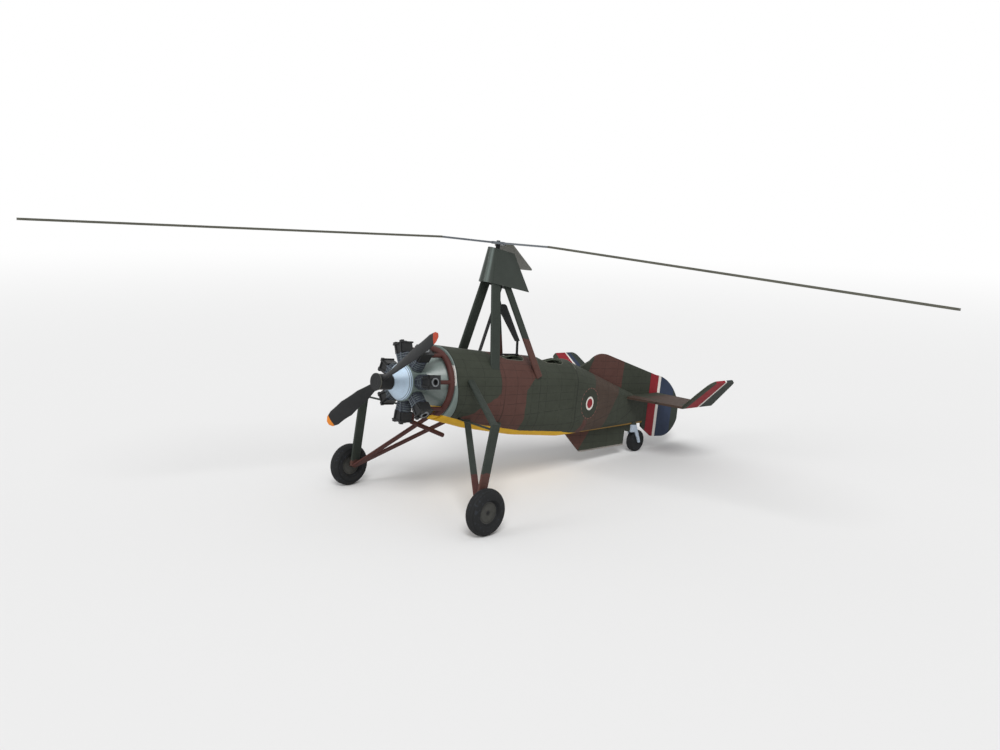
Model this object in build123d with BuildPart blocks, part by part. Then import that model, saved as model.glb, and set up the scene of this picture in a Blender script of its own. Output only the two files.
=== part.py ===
from build123d import *
from math import asin, atan2, cos, degrees, hypot, radians, sin
import os

# A two-seat tractor gyrocopter as a small card display model, 1:48.
# Millimetres. Every fixed piece is drawn in the airframe's own datum: +X is
# forward along the thrust line, +Y is port, +Z is up, and the thrust line is
# Y = Z = 0. The finished pieces are then turned to the parked attitude, so that
# both main wheels and the tail wheel stand on Z = 0, with the rotor hub above
# the origin.

# Card, glue and running fits
CARD = 0.6
GLUE_LINE = 0.03
RUNNING_GAP = 0.05

# Fuselage sections from nose to stern. Columns: station X, half width, top Z,
# bottom Z, radius of the lower corners.
NOSE_SECTIONS = (
    (23.3, 9.40, 9.80, -9.25, 9.20),
    (5.0, 9.20, 8.55, -11.40, 7.50),
)
COCKPIT_SECTIONS = (
    (5.0, 9.20, 8.55, -11.40, 7.50),
    (-27.0, 7.00, 7.15, -15.10, 5.00),
)
TAIL_SECTIONS = (
    (-27.0, 7.00, 7.15, -15.10, 5.00),
    (-68.0, 0.60, -5.20, -12.90, 0.50),
)
COCKPIT_FLOOR_Z = -6.0
# Cockpit openings. Columns: front X, rear X, half width
COCKPITS = {
    "front": (3.2, -6.8, 4.6),
    "rear": (-13.6, -23.6, 4.3),
}
COCKPIT_CORNER = 2.6
BAY_OVERHANG = 1.2
ABOVE_THE_DECK = 30.0

# Seats: one folded card each
SEAT_WIDTH = 7.0
SEAT_LENGTH = 5.0
SEAT_BASE = 2.6
SEAT_BACK = 7.5
SEAT_INSET = 0.6
SEAT_RAKE = 0.6

# Engine
ENGINE_STATION = 31.2
CYLINDER_COUNT = 7
CYLINDER_PHASE = 8.0
CRANKCASE_REAR = 28.8
CRANKCASE_FRONT = 33.6
CRANKCASE_RADIUS = 4.4
FLANGE_RADIUS = 4.95
FLANGE_THICKNESS = 0.3
CASE_NOSE_FRONT = 37.2
CASE_NOSE_RADIUS = 2.1
CASE_NOSE_BASE_RADIUS = 4.75
CASE_NOSE_STEP = 0.35
BARREL_RADIUS = 1.6
FIN_RADIUS = 1.95
FIN_THICKNESS = 0.26
FIN_PITCH = 0.6
FIN_COUNT = 5
FIN_START = 0.3
HEAD_BASE = 7.6
HEAD_TOP = 9.95
HEAD_BLOCK_SIZE = (3.4, 3.2)
HEAD_PLATE_SIZE = (4.0, 3.6)
HEAD_PLATE_THICKNESS = 0.35
HEAD_PORT_RADIUS = 1.1
HEAD_PORT_BORE = 0.6
HEAD_PORT_HEIGHT = 0.35
ROCKER_BOX = (0.9, 0.9, 0.8)
ROCKER_FORWARD = 1.4
ROCKER_SPREAD = 1.3
PUSHROD_RADIUS = 0.22
PUSHROD_STATION = 1.85
PUSHROD_FOOT_SPREAD = 0.5
PUSHROD_HEAD_SPREAD = 1.15
RING_RADIUS = 8.75
RING_TUBE = 0.8
BRANCH_RADIUS = 0.55
BRANCH_REACH = 8.6
COWL_FRONT_RADIUS = 4.3
COWL_REAR_RADIUS = 7.85
PIPE_RADIUS = 0.6
PIPE_BEND = (27.9, -1.0, -10.6)
PIPE_END = (16.6, -1.0, -14.5)

# Rotor head and pylon
HUB_CENTRE = (4.69, 0.0, 38.2)
MAST_LEAN = 0.8
HEAD_BLOCK_BASE = 29.4
HEAD_BLOCK_TOP = 32.4
HEAD_BLOCK_FRONT = 7.0
HEAD_BLOCK_REAR = -0.2
HEAD_BLOCK_WIDTH = 8.0
MAST_DEPTH = 6.4
MAST_RADIUS = 0.62
SPINDLE_RADIUS = 0.5
SPINDLE_STUB = 0.3
# Pylon legs. Columns: foot and top as X, half spread Y, Z; then chord, thickness
PYLON_LEGS = {
    "front": ((7.9, 7.1, 5.5), (5.75, 1.6, 29.4), 3.3, 0.8),
    "rear": ((-8.4, 7.5, 4.2), (2.85, 1.6, 29.4), 2.3, 0.8),
}
PYLON_OVERRUN = 0.06
FAIRING_WALL = 0.4
FAIRING_TAIL = 6.0
# Rotor-head fairing. Columns: front X, rear X, front Z, rear Z, nose radius, rear half width
FAIRING_TOP = (7.8, 0.7, 36.9, 35.8, 1.4, 2.6)
FAIRING_BOTTOM = (9.5, -4.6, 27.5, 25.8, 2.7, 4.6)

# Starter shaft, and the control column that hangs from the head with its wire
SHAFT_FOOT = (6.9, -0.8, 7.3)
SHAFT_TOP = (0.3, -0.7, 29.6)
SHAFT_RADIUS = 0.45
COLUMN_PLANE_Y = 0.8
COLUMN_THICKNESS = 0.6
COLUMN_LOW_REAR = (-6.7, 12.0)
COLUMN_LOW_FRONT = (-5.3, 11.8)
COLUMN_LOW_MIDDLE = (-6.0, 12.1)
COLUMN_HIGH_FRONT = (1.9, 19.8)
COLUMN_CROWN = (1.5, 21.7)
COLUMN_HIGH_REAR = (-0.3, 21.2)
COLUMN_HANGER_FOOT = (1.6, 20.6)
COLUMN_HANGER_TOP = (6.4, 29.6)
COLUMN_ROD_RADIUS = 0.35
COLUMN_KNOB = (-6.4, 8.1)
COLUMN_KNOB_RADIUS = 0.5
COLUMN_WIRE_END = (-0.3, 8.0)
COLUMN_WIRE_RADIUS = 0.25

# Rotor
ROTOR_RADIUS = 117.5
# Rotor blades. Columns: azimuth, droop in degrees
ROTOR_BLADES = ((-19.5, 3.66), (100.5, 3.2), (220.5, 3.66))
BLADE_ROOT = 16.9
BLADE_CHORD = 5.5
BLADE_THICKNESS = 0.55
BLADE_CORNER = 1.6
ARM_WIDTH = 0.9
ARM_THICKNESS = 0.5
ROTOR_HUB_RADIUS = 1.9
ROTOR_HUB_THICKNESS = 0.7

# Propeller
PROPELLER_LIFT = 35.0
PROPELLER_STATION = 40.4
PROPELLER_BOSS_RADIUS = 2.0
PROPELLER_BOSS = (37.35, 41.6)
# Blade sections. Columns: distance from the axis, chord, thickness, pitch in degrees
PROPELLER_SECTIONS = (
    (1.2, 1.6, 1.3, -60.0),
    (8.0, 3.6, 0.8, -38.0),
    (15.5, 4.5, 0.6, -27.0),
    (21.3, 4.1, 0.5, -20.0),
    (23.6, 3.0, 0.45, -18.5),
    (24.5, 1.4, 0.4, -18.0),
)

# Undercarriage
MAIN_WHEEL = (26.33, 28.1, -27.63)
MAIN_WHEEL_RADIUS = 5.9
TYRE_WIDTH = 3.6
WHEEL_DISC_RADIUS = 2.7
WHEEL_DISC_HALF = 0.9
TYRE_SIDE_RADIUS = 3.4
TYRE_SHOULDER_RADIUS = 4.1
AXLE_RADIUS = 0.42
LEG_TOP = (24.5, 26.45, -6.4)
LEG_FOOT = (26.33, 25.6, -27.63)
LEG_CHORD = 3.0
LEG_THICKNESS = 0.7
# Braces from the fuselage to the top of the leg. Columns: foot, top
BRACES = {
    "upper": ((17.75, 8.8, 1.75), (24.5, 26.2, -6.9)),
    "lower": ((17.9, 5.6, -8.8), (24.6, 26.2, -8.3)),
}
BRACE_CHORD = 2.2
BRACE_THICKNESS = 0.8
ROD_FEET = ((14.9, 5.9, -8.7), (4.3, 6.9, -9.5))
ROD_CHORD = 2.0
ROD_THICKNESS = 0.6

# Tail
TAIL_WHEEL = (-66.37, 0.0, -18.65)
TAIL_WHEEL_RADIUS = 3.5
TAIL_TYRE_WIDTH = 2.2
TAIL_TYRE_ROUND = 0.6
TAIL_AXLE_RADIUS = 0.35
FORK_GAP = 0.2
FORK_SHEET = 0.4
FORK_TOP_X = -62.6
FORK_TOP_Z = -12.4
FORK_TOP_HALF = 1.0
FORK_FOOT_HALF = 0.55
FORK_BRIDGE = (-63.4, -61.6, -15.6, -12.4)
RUDDER_THICKNESS = 0.8
VENTRAL_THICKNESS = 0.7
# Fin and rudder outline, as X and Z, from the front round to the underside
FIN_FOOT = (-35.0, 5.0)
FIN_RISE = (-39.3, 6.9)
FIN_SHOULDER = (-43.6, 9.0)
FIN_CREST = (-47.5, 8.85)
RUDDER_TOP = (-73.0, 2.9)
RUDDER_UPPER_CURVE = (-81.8, -0.4)
RUDDER_REAR_HIGH = (-87.2, -7.2)
RUDDER_REAR_LOW = (-87.3, -11.8)
RUDDER_LOWER_CURVE = (-84.6, -15.7)
RUDDER_HEEL = (-79.4, -17.6)
RUDDER_TOE = (-74.3, -17.5)
FIN_UNDERSIDE = ((-68.4, -14.2), (-68.0, -12.0), (-60.0, -9.0), (-35.0, 0.0))
VENTRAL_OUTLINE = ((-29.8, -14.0), (-39.0, -21.3), (-59.7, -19.9), (-59.8, -13.0))
# Tailplane: a level panel, set nose-down, with an upturned tip
TAILPLANE_PIVOT = (-57.5, -4.2)
TAILPLANE_INCIDENCE = 3.3
TAILPLANE_THICKNESS = 0.7
TAILPLANE_KNUCKLE = 22.2
TAILPLANE_TIP_RISE = 42.0
TAILPLANE_TIP_SPAN = 14.0
# Chord lines on the panel, from the pivot. Columns: front, rear
TAILPLANE_ROOT_CHORD = (1.3, -16.9)
TAILPLANE_KNUCKLE_CHORD = (-0.9, -16.1)
TAILPLANE_TIP_CHORD = (-0.5, -12.0)
TAILPLANE_TIP_CORNER = 2.4
TAILPLANE_LEADING_BOW = 0.5

# Parked attitude, worked out from the wheels that stand on the floor
wheel_run = MAIN_WHEEL[0] - TAIL_WHEEL[0]
wheel_rise = TAIL_WHEEL[2] - MAIN_WHEEL[2]
wheel_span = hypot(wheel_run, wheel_rise)
PARKED_PITCH = degrees(
    atan2(wheel_rise, wheel_run) + asin((MAIN_WHEEL_RADIUS - TAIL_WHEEL_RADIUS) / wheel_span)
)


def turned(point):
    """A datum point after the parked pitch, before it is set above the origin."""
    x, y, z = point
    pitch = radians(PARKED_PITCH)
    return Vector(x * cos(pitch) - z * sin(pitch), y, x * sin(pitch) + z * cos(pitch))


PARKED = Location(
    (-turned(HUB_CENTRE).X, 0, MAIN_WHEEL_RADIUS - turned(MAIN_WHEEL).Z),
    (0, -PARKED_PITCH, 0),
)

os.makedirs("parts", exist_ok=True)
SIDES = {"port": 1, "starboard": -1}


def park(builder, node):
    """Turn a finished piece to the parked attitude, label it and write it."""
    builder.part = builder.part.moved(PARKED)
    builder.part.label = node
    export_step(builder.part, f"parts/{node}.step")


def mirrored(point, side):
    """A point given for the port side, on the side asked for."""
    x, y, z = point
    return (x, y * side, z)


def fuselage_section(x, half_width, top, bottom, corner, grow=0.0):
    """One cross-section: round top, flat sides, rounded lower corners, flat belly."""
    width = half_width + grow
    crown = top + grow
    belly = bottom - grow
    radius = corner + grow
    shoulder = crown - width
    bilge = belly + radius
    bend = radius * (1 - sin(radians(45)))
    with BuildSketch(Plane(origin=(x, 0, 0), x_dir=(0, 1, 0), z_dir=(1, 0, 0))) as section:
        with BuildLine():
            Line((width, bilge), (width, shoulder))
            ThreePointArc((width, shoulder), (0, crown), (-width, shoulder))
            Line((-width, shoulder), (-width, bilge))
            ThreePointArc((-width, bilge), (-width + bend, belly + bend), (-width + radius, belly))
            Line((-width + radius, belly), (width - radius, belly))
            ThreePointArc((width - radius, belly), (width - bend, belly + bend), (width, bilge))
        make_face()
    return section.sketch


def fuselage_length(sections, grow=0.0):
    """A length of fuselage between its sections, thicker or thinner by grow."""
    with BuildPart() as length:
        loft([fuselage_section(*section, grow=grow) for section in sections], ruled=True)
    return length.part


def strut(start, end, chord, thickness):
    """A flat strut with rounded edges, its chord along the line of flight."""
    foot = Vector(*start)
    run = Vector(*end) - foot
    with BuildPart() as bar:
        with BuildSketch(Plane(origin=foot, x_dir=(1, 0, 0), z_dir=run)):
            SlotOverall(chord, thickness)
        extrude(amount=run.length)
    return bar.part


def round_rod(start, end, radius):
    """A round rod between two points."""
    foot = Vector(*start)
    run = Vector(*end) - foot
    with BuildPart() as rod:
        with BuildSketch(Plane(origin=foot, z_dir=run)):
            Circle(radius)
        extrude(amount=run.length)
    return rod.part


# The whole outer skin, a glue line proud, to trim what stands on it
with BuildPart() as fuselage_trim:
    for sections in (NOSE_SECTIONS, COCKPIT_SECTIONS, TAIL_SECTIONS):
        add(fuselage_length(sections, grow=GLUE_LINE))


# Fuselage: nose drum, cockpit section and tail cone
with BuildPart() as nose_section:
    add(fuselage_length(NOSE_SECTIONS))
park(nose_section, "nose_section")

with BuildPart() as cockpit_bays:
    add(fuselage_length(COCKPIT_SECTIONS, grow=-CARD))
    with BuildSketch(Plane.XY.offset(COCKPIT_FLOOR_Z)):
        for front, rear, half_width in COCKPITS.values():
            with Locations(((front + rear) / 2, 0)):
                Rectangle(front - rear + 2 * BAY_OVERHANG, 2 * ABOVE_THE_DECK)
    extrude(amount=ABOVE_THE_DECK - COCKPIT_FLOOR_Z, mode=Mode.INTERSECT)

with BuildPart() as cockpit_section:
    add(fuselage_length(COCKPIT_SECTIONS))
    add(cockpit_bays.part, mode=Mode.SUBTRACT)
    with BuildSketch(Plane.XY):
        for front, rear, half_width in COCKPITS.values():
            with Locations(((front + rear) / 2, 0)):
                RectangleRounded(front - rear, 2 * half_width, COCKPIT_CORNER)
    extrude(amount=ABOVE_THE_DECK, mode=Mode.SUBTRACT)
park(cockpit_section, "cockpit_section")

with BuildPart() as tail_cone:
    add(fuselage_length(TAIL_SECTIONS))
park(tail_cone, "tail_cone")

# A folded card seat in each cockpit
for name, (front, rear, half_width) in COCKPITS.items():
    with BuildPart() as seat:
        back_x = rear + SEAT_INSET
        with BuildSketch(Plane.XZ.offset(-SEAT_WIDTH / 2)):
            with BuildLine():
                Polyline(
                    (back_x + SEAT_LENGTH, COCKPIT_FLOOR_Z),
                    (back_x + SEAT_LENGTH, COCKPIT_FLOOR_Z + SEAT_BASE),
                    (back_x + CARD, COCKPIT_FLOOR_Z + SEAT_BASE),
                    (back_x + CARD - SEAT_RAKE, COCKPIT_FLOOR_Z + SEAT_BACK),
                    (back_x - SEAT_RAKE, COCKPIT_FLOOR_Z + SEAT_BACK),
                    (back_x, COCKPIT_FLOOR_Z),
                    close=True,
                )
            make_face()
        extrude(amount=SEAT_WIDTH)
    park(seat, f"seat_{name}")

# Cowl cone, collector ring with its branches, and tail pipe
nose_face = NOSE_SECTIONS[0][0]
with BuildPart() as cowl_cone:
    with BuildSketch(Plane.XZ):
        with BuildLine():
            Polyline(
                (nose_face, 0),
                (nose_face, COWL_REAR_RADIUS),
                (CRANKCASE_REAR, COWL_FRONT_RADIUS),
                (CRANKCASE_REAR, 0),
                close=True,
            )
        make_face()
    revolve(axis=Axis.X)
park(cowl_cone, "cowl_cone")

ring_station = nose_face + RING_TUBE + GLUE_LINE
branch_end = ENGINE_STATION - HEAD_BLOCK_SIZE[0] / 2 - GLUE_LINE
cylinder_angles = [
    CYLINDER_PHASE + number * 360 / CYLINDER_COUNT for number in range(CYLINDER_COUNT)
]

with BuildPart() as exhaust_ring:
    with BuildSketch(Plane.XZ):
        with Locations((ring_station, RING_RADIUS)):
            Circle(RING_TUBE)
    revolve(axis=Axis.X)
    for angle in cylinder_angles:
        across = cos(radians(angle))
        up = sin(radians(angle))
        add(round_rod(
            (ring_station, RING_RADIUS * across, RING_RADIUS * up),
            (branch_end, BRANCH_REACH * across, BRANCH_REACH * up),
            BRANCH_RADIUS,
        ))
park(exhaust_ring, "exhaust_ring")

# The tail pipe drops from the bottom branch, bends, and slopes away under the ring
pipe_x, pipe_y, pipe_z = PIPE_BEND
with BuildPart() as exhaust_pipe:
    add(round_rod((pipe_x, pipe_y, -BRANCH_REACH), PIPE_BEND, PIPE_RADIUS))
    add(round_rod(PIPE_BEND, PIPE_END, PIPE_RADIUS))
    with Locations(PIPE_BEND):
        Sphere(PIPE_RADIUS)
    add(exhaust_ring.part.moved(PARKED.inverse()), mode=Mode.SUBTRACT)
park(exhaust_pipe, "exhaust_pipe")

# Crankcase: a drum with seven flats and a front flange, and its nose cone
case_plane = Plane(origin=(CRANKCASE_REAR, 0, 0), x_dir=(0, 1, 0), z_dir=(1, 0, 0))
with BuildPart() as crankcase:
    with BuildSketch(case_plane):
        RegularPolygon(
            CRANKCASE_RADIUS, CYLINDER_COUNT, major_radius=False,
            rotation=CYLINDER_PHASE + 180 / CYLINDER_COUNT,
        )
    extrude(amount=CRANKCASE_FRONT - CRANKCASE_REAR)
    with BuildSketch(case_plane.offset(CRANKCASE_FRONT - CRANKCASE_REAR)):
        Circle(FLANGE_RADIUS)
    extrude(amount=-FLANGE_THICKNESS)
park(crankcase, "crankcase")

with BuildPart() as crankcase_nose:
    with BuildSketch(Plane.XZ):
        with BuildLine():
            Polyline(
                (CRANKCASE_FRONT, 0),
                (CRANKCASE_FRONT, CASE_NOSE_BASE_RADIUS),
                (CRANKCASE_FRONT + CASE_NOSE_STEP, CASE_NOSE_BASE_RADIUS),
                (CASE_NOSE_FRONT, CASE_NOSE_RADIUS),
                (CASE_NOSE_FRONT, 0),
                close=True,
            )
        make_face()
    revolve(axis=Axis.X)
park(crankcase_nose, "crankcase_nose")

# Seven finned cylinders, each standing on its flat of the crankcase, with a head,
# a head plate, an open port, two rocker boxes and two pushrods
barrel_length = HEAD_BASE - CRANKCASE_RADIUS
head_length = HEAD_TOP - CRANKCASE_RADIUS
for number, angle in enumerate(cylinder_angles, start=1):
    across = cos(radians(angle))
    up = sin(radians(angle))
    stand = Plane(
        origin=(ENGINE_STATION, CRANKCASE_RADIUS * across, CRANKCASE_RADIUS * up),
        x_dir=(1, 0, 0),
        z_dir=(0, across, up),
    )
    with BuildPart() as cylinder:
        with BuildSketch(stand):
            Circle(BARREL_RADIUS)
        extrude(amount=barrel_length)
        for fin_number in range(FIN_COUNT):
            with BuildSketch(stand.offset(FIN_START + fin_number * FIN_PITCH)):
                Circle(FIN_RADIUS)
            extrude(amount=FIN_THICKNESS)
        with BuildSketch(stand.offset(barrel_length)):
            Rectangle(*HEAD_BLOCK_SIZE)
        extrude(amount=HEAD_TOP - HEAD_BASE)
        with BuildSketch(stand.offset(head_length)):
            Rectangle(*HEAD_PLATE_SIZE)
        extrude(amount=HEAD_PLATE_THICKNESS)
        with BuildSketch(stand.offset(head_length)):
            Circle(HEAD_PORT_RADIUS)
        extrude(amount=HEAD_PLATE_THICKNESS + HEAD_PORT_HEIGHT)
        with BuildSketch(stand.offset(head_length)):
            Circle(HEAD_PORT_BORE)
        extrude(amount=HEAD_PLATE_THICKNESS + HEAD_PORT_HEIGHT, mode=Mode.SUBTRACT)
        for spread in (-1, 1):
            box_length, box_width, box_height = ROCKER_BOX
            with BuildSketch(stand.offset(head_length)):
                with Locations((ROCKER_FORWARD, ROCKER_SPREAD * spread)):
                    Rectangle(box_length, box_width)
            extrude(amount=box_height)
            add(round_rod(
                stand.from_local_coords((PUSHROD_STATION, PUSHROD_FOOT_SPREAD * spread, 0)),
                stand.from_local_coords(
                    (PUSHROD_STATION, PUSHROD_HEAD_SPREAD * spread, head_length)
                ),
                PUSHROD_RADIUS,
            ))
    park(cylinder, f"cylinder_{number}")

# Rotor-head fairing: one card bent round a nose, open behind and below


def fairing_section(front_x, rear_x, front_z, rear_z, nose_radius, rear_width, inset=0.0):
    """A bent-card outline, in a plane that slopes down to the rear."""
    slope = Vector(front_x - rear_x, 0, front_z - rear_z)
    length = slope.length
    tail = FAIRING_TAIL if inset else 0.0
    radius = nose_radius - inset
    rear = rear_width - inset + tail * (rear_width - nose_radius) / length
    nose_start = length - nose_radius
    with BuildSketch(
        Plane(
            origin=(rear_x, 0, rear_z),
            x_dir=slope,
            z_dir=Vector(0, 1, 0).cross(slope) * -1,
        )
    ) as section:
        with BuildLine():
            Line((-tail, -rear), (nose_start, -radius))
            ThreePointArc((nose_start, -radius), (nose_start + radius, 0), (nose_start, radius))
            Line((nose_start, radius), (-tail, rear))
            Line((-tail, rear), (-tail, -rear))
        make_face()
    return section.sketch


with BuildPart() as fairing_inside:
    loft([fairing_section(*row, inset=FAIRING_WALL) for row in (FAIRING_TOP, FAIRING_BOTTOM)], ruled=True)

with BuildPart() as head_fairing:
    loft([fairing_section(*row) for row in (FAIRING_TOP, FAIRING_BOTTOM)], ruled=True)
    add(fairing_inside.part, mode=Mode.SUBTRACT)
park(head_fairing, "head_fairing")

# Head block between the fairing's walls, with the spindle that the rotor turns on
mast_plane = Plane(
    origin=HUB_CENTRE,
    x_dir=(cos(radians(MAST_LEAN)), 0, -sin(radians(MAST_LEAN))),
    z_dir=(sin(radians(MAST_LEAN)), 0, cos(radians(MAST_LEAN))),
)
with BuildPart() as head_block:
    block_middle = (HEAD_BLOCK_FRONT + HEAD_BLOCK_REAR) / 2
    with BuildSketch(Plane.XY.offset(HEAD_BLOCK_BASE)):
        with Locations((block_middle, 0)):
            Rectangle(HEAD_BLOCK_FRONT - HEAD_BLOCK_REAR, HEAD_BLOCK_WIDTH)
    extrude(amount=HEAD_BLOCK_TOP - HEAD_BLOCK_BASE)
    add(fairing_inside.part, mode=Mode.INTERSECT)
    with BuildSketch(mast_plane.offset(-MAST_DEPTH)):
        Circle(MAST_RADIUS)
    extrude(amount=MAST_DEPTH - ROTOR_HUB_THICKNESS / 2 - RUNNING_GAP)
    with BuildSketch(mast_plane.offset(-MAST_DEPTH)):
        Circle(SPINDLE_RADIUS)
    extrude(amount=MAST_DEPTH + ROTOR_HUB_THICKNESS / 2 + SPINDLE_STUB)
park(head_block, "head_block")

# Pylon legs from the deck up to the head block, inside the fairing
for place, (foot, top, chord, thickness) in PYLON_LEGS.items():
    for side_name, side in SIDES.items():
        with BuildPart() as pylon_leg:
            reach = Vector(*mirrored(top, side)) - Vector(*mirrored(foot, side))
            start = Vector(*mirrored(foot, side)) - reach * PYLON_OVERRUN
            end = Vector(*mirrored(top, side)) + reach * PYLON_OVERRUN
            add(strut(start, end, chord, thickness))
            split(bisect_by=Plane.XY.offset(HEAD_BLOCK_BASE), keep=Keep.BOTTOM)
            add(fuselage_trim.part, mode=Mode.SUBTRACT)
            add(head_fairing.part.moved(PARKED.inverse()), mode=Mode.SUBTRACT)
        park(pylon_leg, f"pylon_{place}_{side_name}")

# Starter shaft, and the hanging control column with its wire, between the pylon legs
with BuildPart() as starter_shaft:
    add(round_rod(SHAFT_FOOT, SHAFT_TOP, SHAFT_RADIUS))
    split(bisect_by=Plane.XY.offset(HEAD_BLOCK_BASE), keep=Keep.BOTTOM)
    add(fuselage_trim.part, mode=Mode.SUBTRACT)
park(starter_shaft, "starter_shaft")


def beside_column(point):
    """A point given as X and Z, in the plane that the control column hangs in."""
    x, z = point
    return (x, COLUMN_PLANE_Y, z)


with BuildPart() as control_column:
    with BuildSketch(Plane.XZ.offset(-COLUMN_PLANE_Y - COLUMN_THICKNESS / 2)):
        with BuildLine():
            Polyline(COLUMN_HIGH_REAR, COLUMN_LOW_REAR, COLUMN_LOW_FRONT, COLUMN_HIGH_FRONT)
            ThreePointArc(COLUMN_HIGH_FRONT, COLUMN_CROWN, COLUMN_HIGH_REAR)
        make_face()
    extrude(amount=COLUMN_THICKNESS)
    column_foot = beside_column(COLUMN_LOW_MIDDLE)
    knob = beside_column(COLUMN_KNOB)
    add(round_rod(
        beside_column(COLUMN_HANGER_FOOT), beside_column(COLUMN_HANGER_TOP), COLUMN_ROD_RADIUS
    ))
    split(bisect_by=Plane.XY.offset(HEAD_BLOCK_BASE), keep=Keep.BOTTOM)
    add(round_rod(column_foot, knob, COLUMN_ROD_RADIUS))
    with Locations(knob):
        Sphere(COLUMN_KNOB_RADIUS)
    add(round_rod(knob, beside_column(COLUMN_WIRE_END), COLUMN_WIRE_RADIUS))
park(control_column, "control_column")

# Undercarriage: a long leg with a stub axle, two braces and a V of radius rods
wheel_x, wheel_y, wheel_z = MAIN_WHEEL
for side_name, side in SIDES.items():
    with BuildPart() as main_leg:
        add(strut(mirrored(LEG_TOP, side), mirrored(LEG_FOOT, side), LEG_CHORD, LEG_THICKNESS))
        add(round_rod(
            (wheel_x, (LEG_FOOT[1] - LEG_THICKNESS / 2) * side, wheel_z),
            (wheel_x, (wheel_y + WHEEL_DISC_HALF) * side, wheel_z),
            AXLE_RADIUS,
        ))
    park(main_leg, f"main_leg_{side_name}")
    leg_trim = main_leg.part.moved(PARKED.inverse())
    for place, (brace_foot, brace_top) in BRACES.items():
        with BuildPart() as brace:
            add(strut(
                mirrored(brace_foot, side), mirrored(brace_top, side), BRACE_CHORD, BRACE_THICKNESS
            ))
            add(fuselage_trim.part, mode=Mode.SUBTRACT)
            add(leg_trim, mode=Mode.SUBTRACT)
        park(brace, f"{place}_brace_{side_name}")
    with BuildPart() as radius_rods:
        for rod_foot in ROD_FEET:
            add(strut(
                mirrored(rod_foot, side), mirrored(LEG_FOOT, side), ROD_CHORD, ROD_THICKNESS
            ))
        add(fuselage_trim.part, mode=Mode.SUBTRACT)
        add(leg_trim, mode=Mode.SUBTRACT)
    park(radius_rods, f"radius_rods_{side_name}")

# Wheels
for side_name, side in SIDES.items():
    hub_plane = Plane(
        origin=(wheel_x, wheel_y * side, wheel_z), x_dir=(1, 0, 0), z_dir=(0, side, 0)
    )
    with BuildPart() as wheel_disc:
        with BuildSketch(hub_plane.offset(-WHEEL_DISC_HALF)):
            Circle(WHEEL_DISC_RADIUS)
            Circle(AXLE_RADIUS + RUNNING_GAP, mode=Mode.SUBTRACT)
        extrude(amount=2 * WHEEL_DISC_HALF)
    park(wheel_disc, f"wheel_disc_{side_name}")
    with BuildPart() as tyre:
        with BuildSketch(Plane.XY):
            half = TYRE_WIDTH / 2
            with BuildLine():
                Polyline(
                    (TYRE_SHOULDER_RADIUS, -half),
                    (TYRE_SIDE_RADIUS, -half),
                    (WHEEL_DISC_RADIUS, -WHEEL_DISC_HALF),
                    (WHEEL_DISC_RADIUS, WHEEL_DISC_HALF),
                    (TYRE_SIDE_RADIUS, half),
                    (TYRE_SHOULDER_RADIUS, half),
                )
                ThreePointArc(
                    (TYRE_SHOULDER_RADIUS, half), (MAIN_WHEEL_RADIUS, 0), (TYRE_SHOULDER_RADIUS, -half)
                )
            make_face()
        revolve(axis=Axis.Y)
        tyre.part = tyre.part.moved(Location((wheel_x, wheel_y * side, wheel_z)))
    park(tyre, f"tyre_{side_name}")

# Fin and rudder in one card, cut to stand on the tail cone
with BuildPart() as fin:
    with BuildSketch(Plane.XZ.offset(-RUDDER_THICKNESS / 2)):
        with BuildLine():
            Line(FIN_FOOT, FIN_RISE)
            ThreePointArc(FIN_RISE, FIN_SHOULDER, FIN_CREST)
            Line(FIN_CREST, RUDDER_TOP)
            ThreePointArc(RUDDER_TOP, RUDDER_UPPER_CURVE, RUDDER_REAR_HIGH)
            Line(RUDDER_REAR_HIGH, RUDDER_REAR_LOW)
            ThreePointArc(RUDDER_REAR_LOW, RUDDER_LOWER_CURVE, RUDDER_HEEL)
            Line(RUDDER_HEEL, RUDDER_TOE)
            Polyline(RUDDER_TOE, *FIN_UNDERSIDE, FIN_FOOT)
        make_face()
    extrude(amount=RUDDER_THICKNESS)
    add(fuselage_trim.part, mode=Mode.SUBTRACT)
park(fin, "fin")
fin_trim = fin.part.moved(PARKED.inverse())

with BuildPart() as ventral_fin:
    with BuildSketch(Plane.XZ.offset(-VENTRAL_THICKNESS / 2)):
        with BuildLine():
            Polyline(*VENTRAL_OUTLINE, close=True)
        make_face()
    extrude(amount=VENTRAL_THICKNESS)
    add(fuselage_trim.part, mode=Mode.SUBTRACT)
park(ventral_fin, "ventral_fin")

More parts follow.
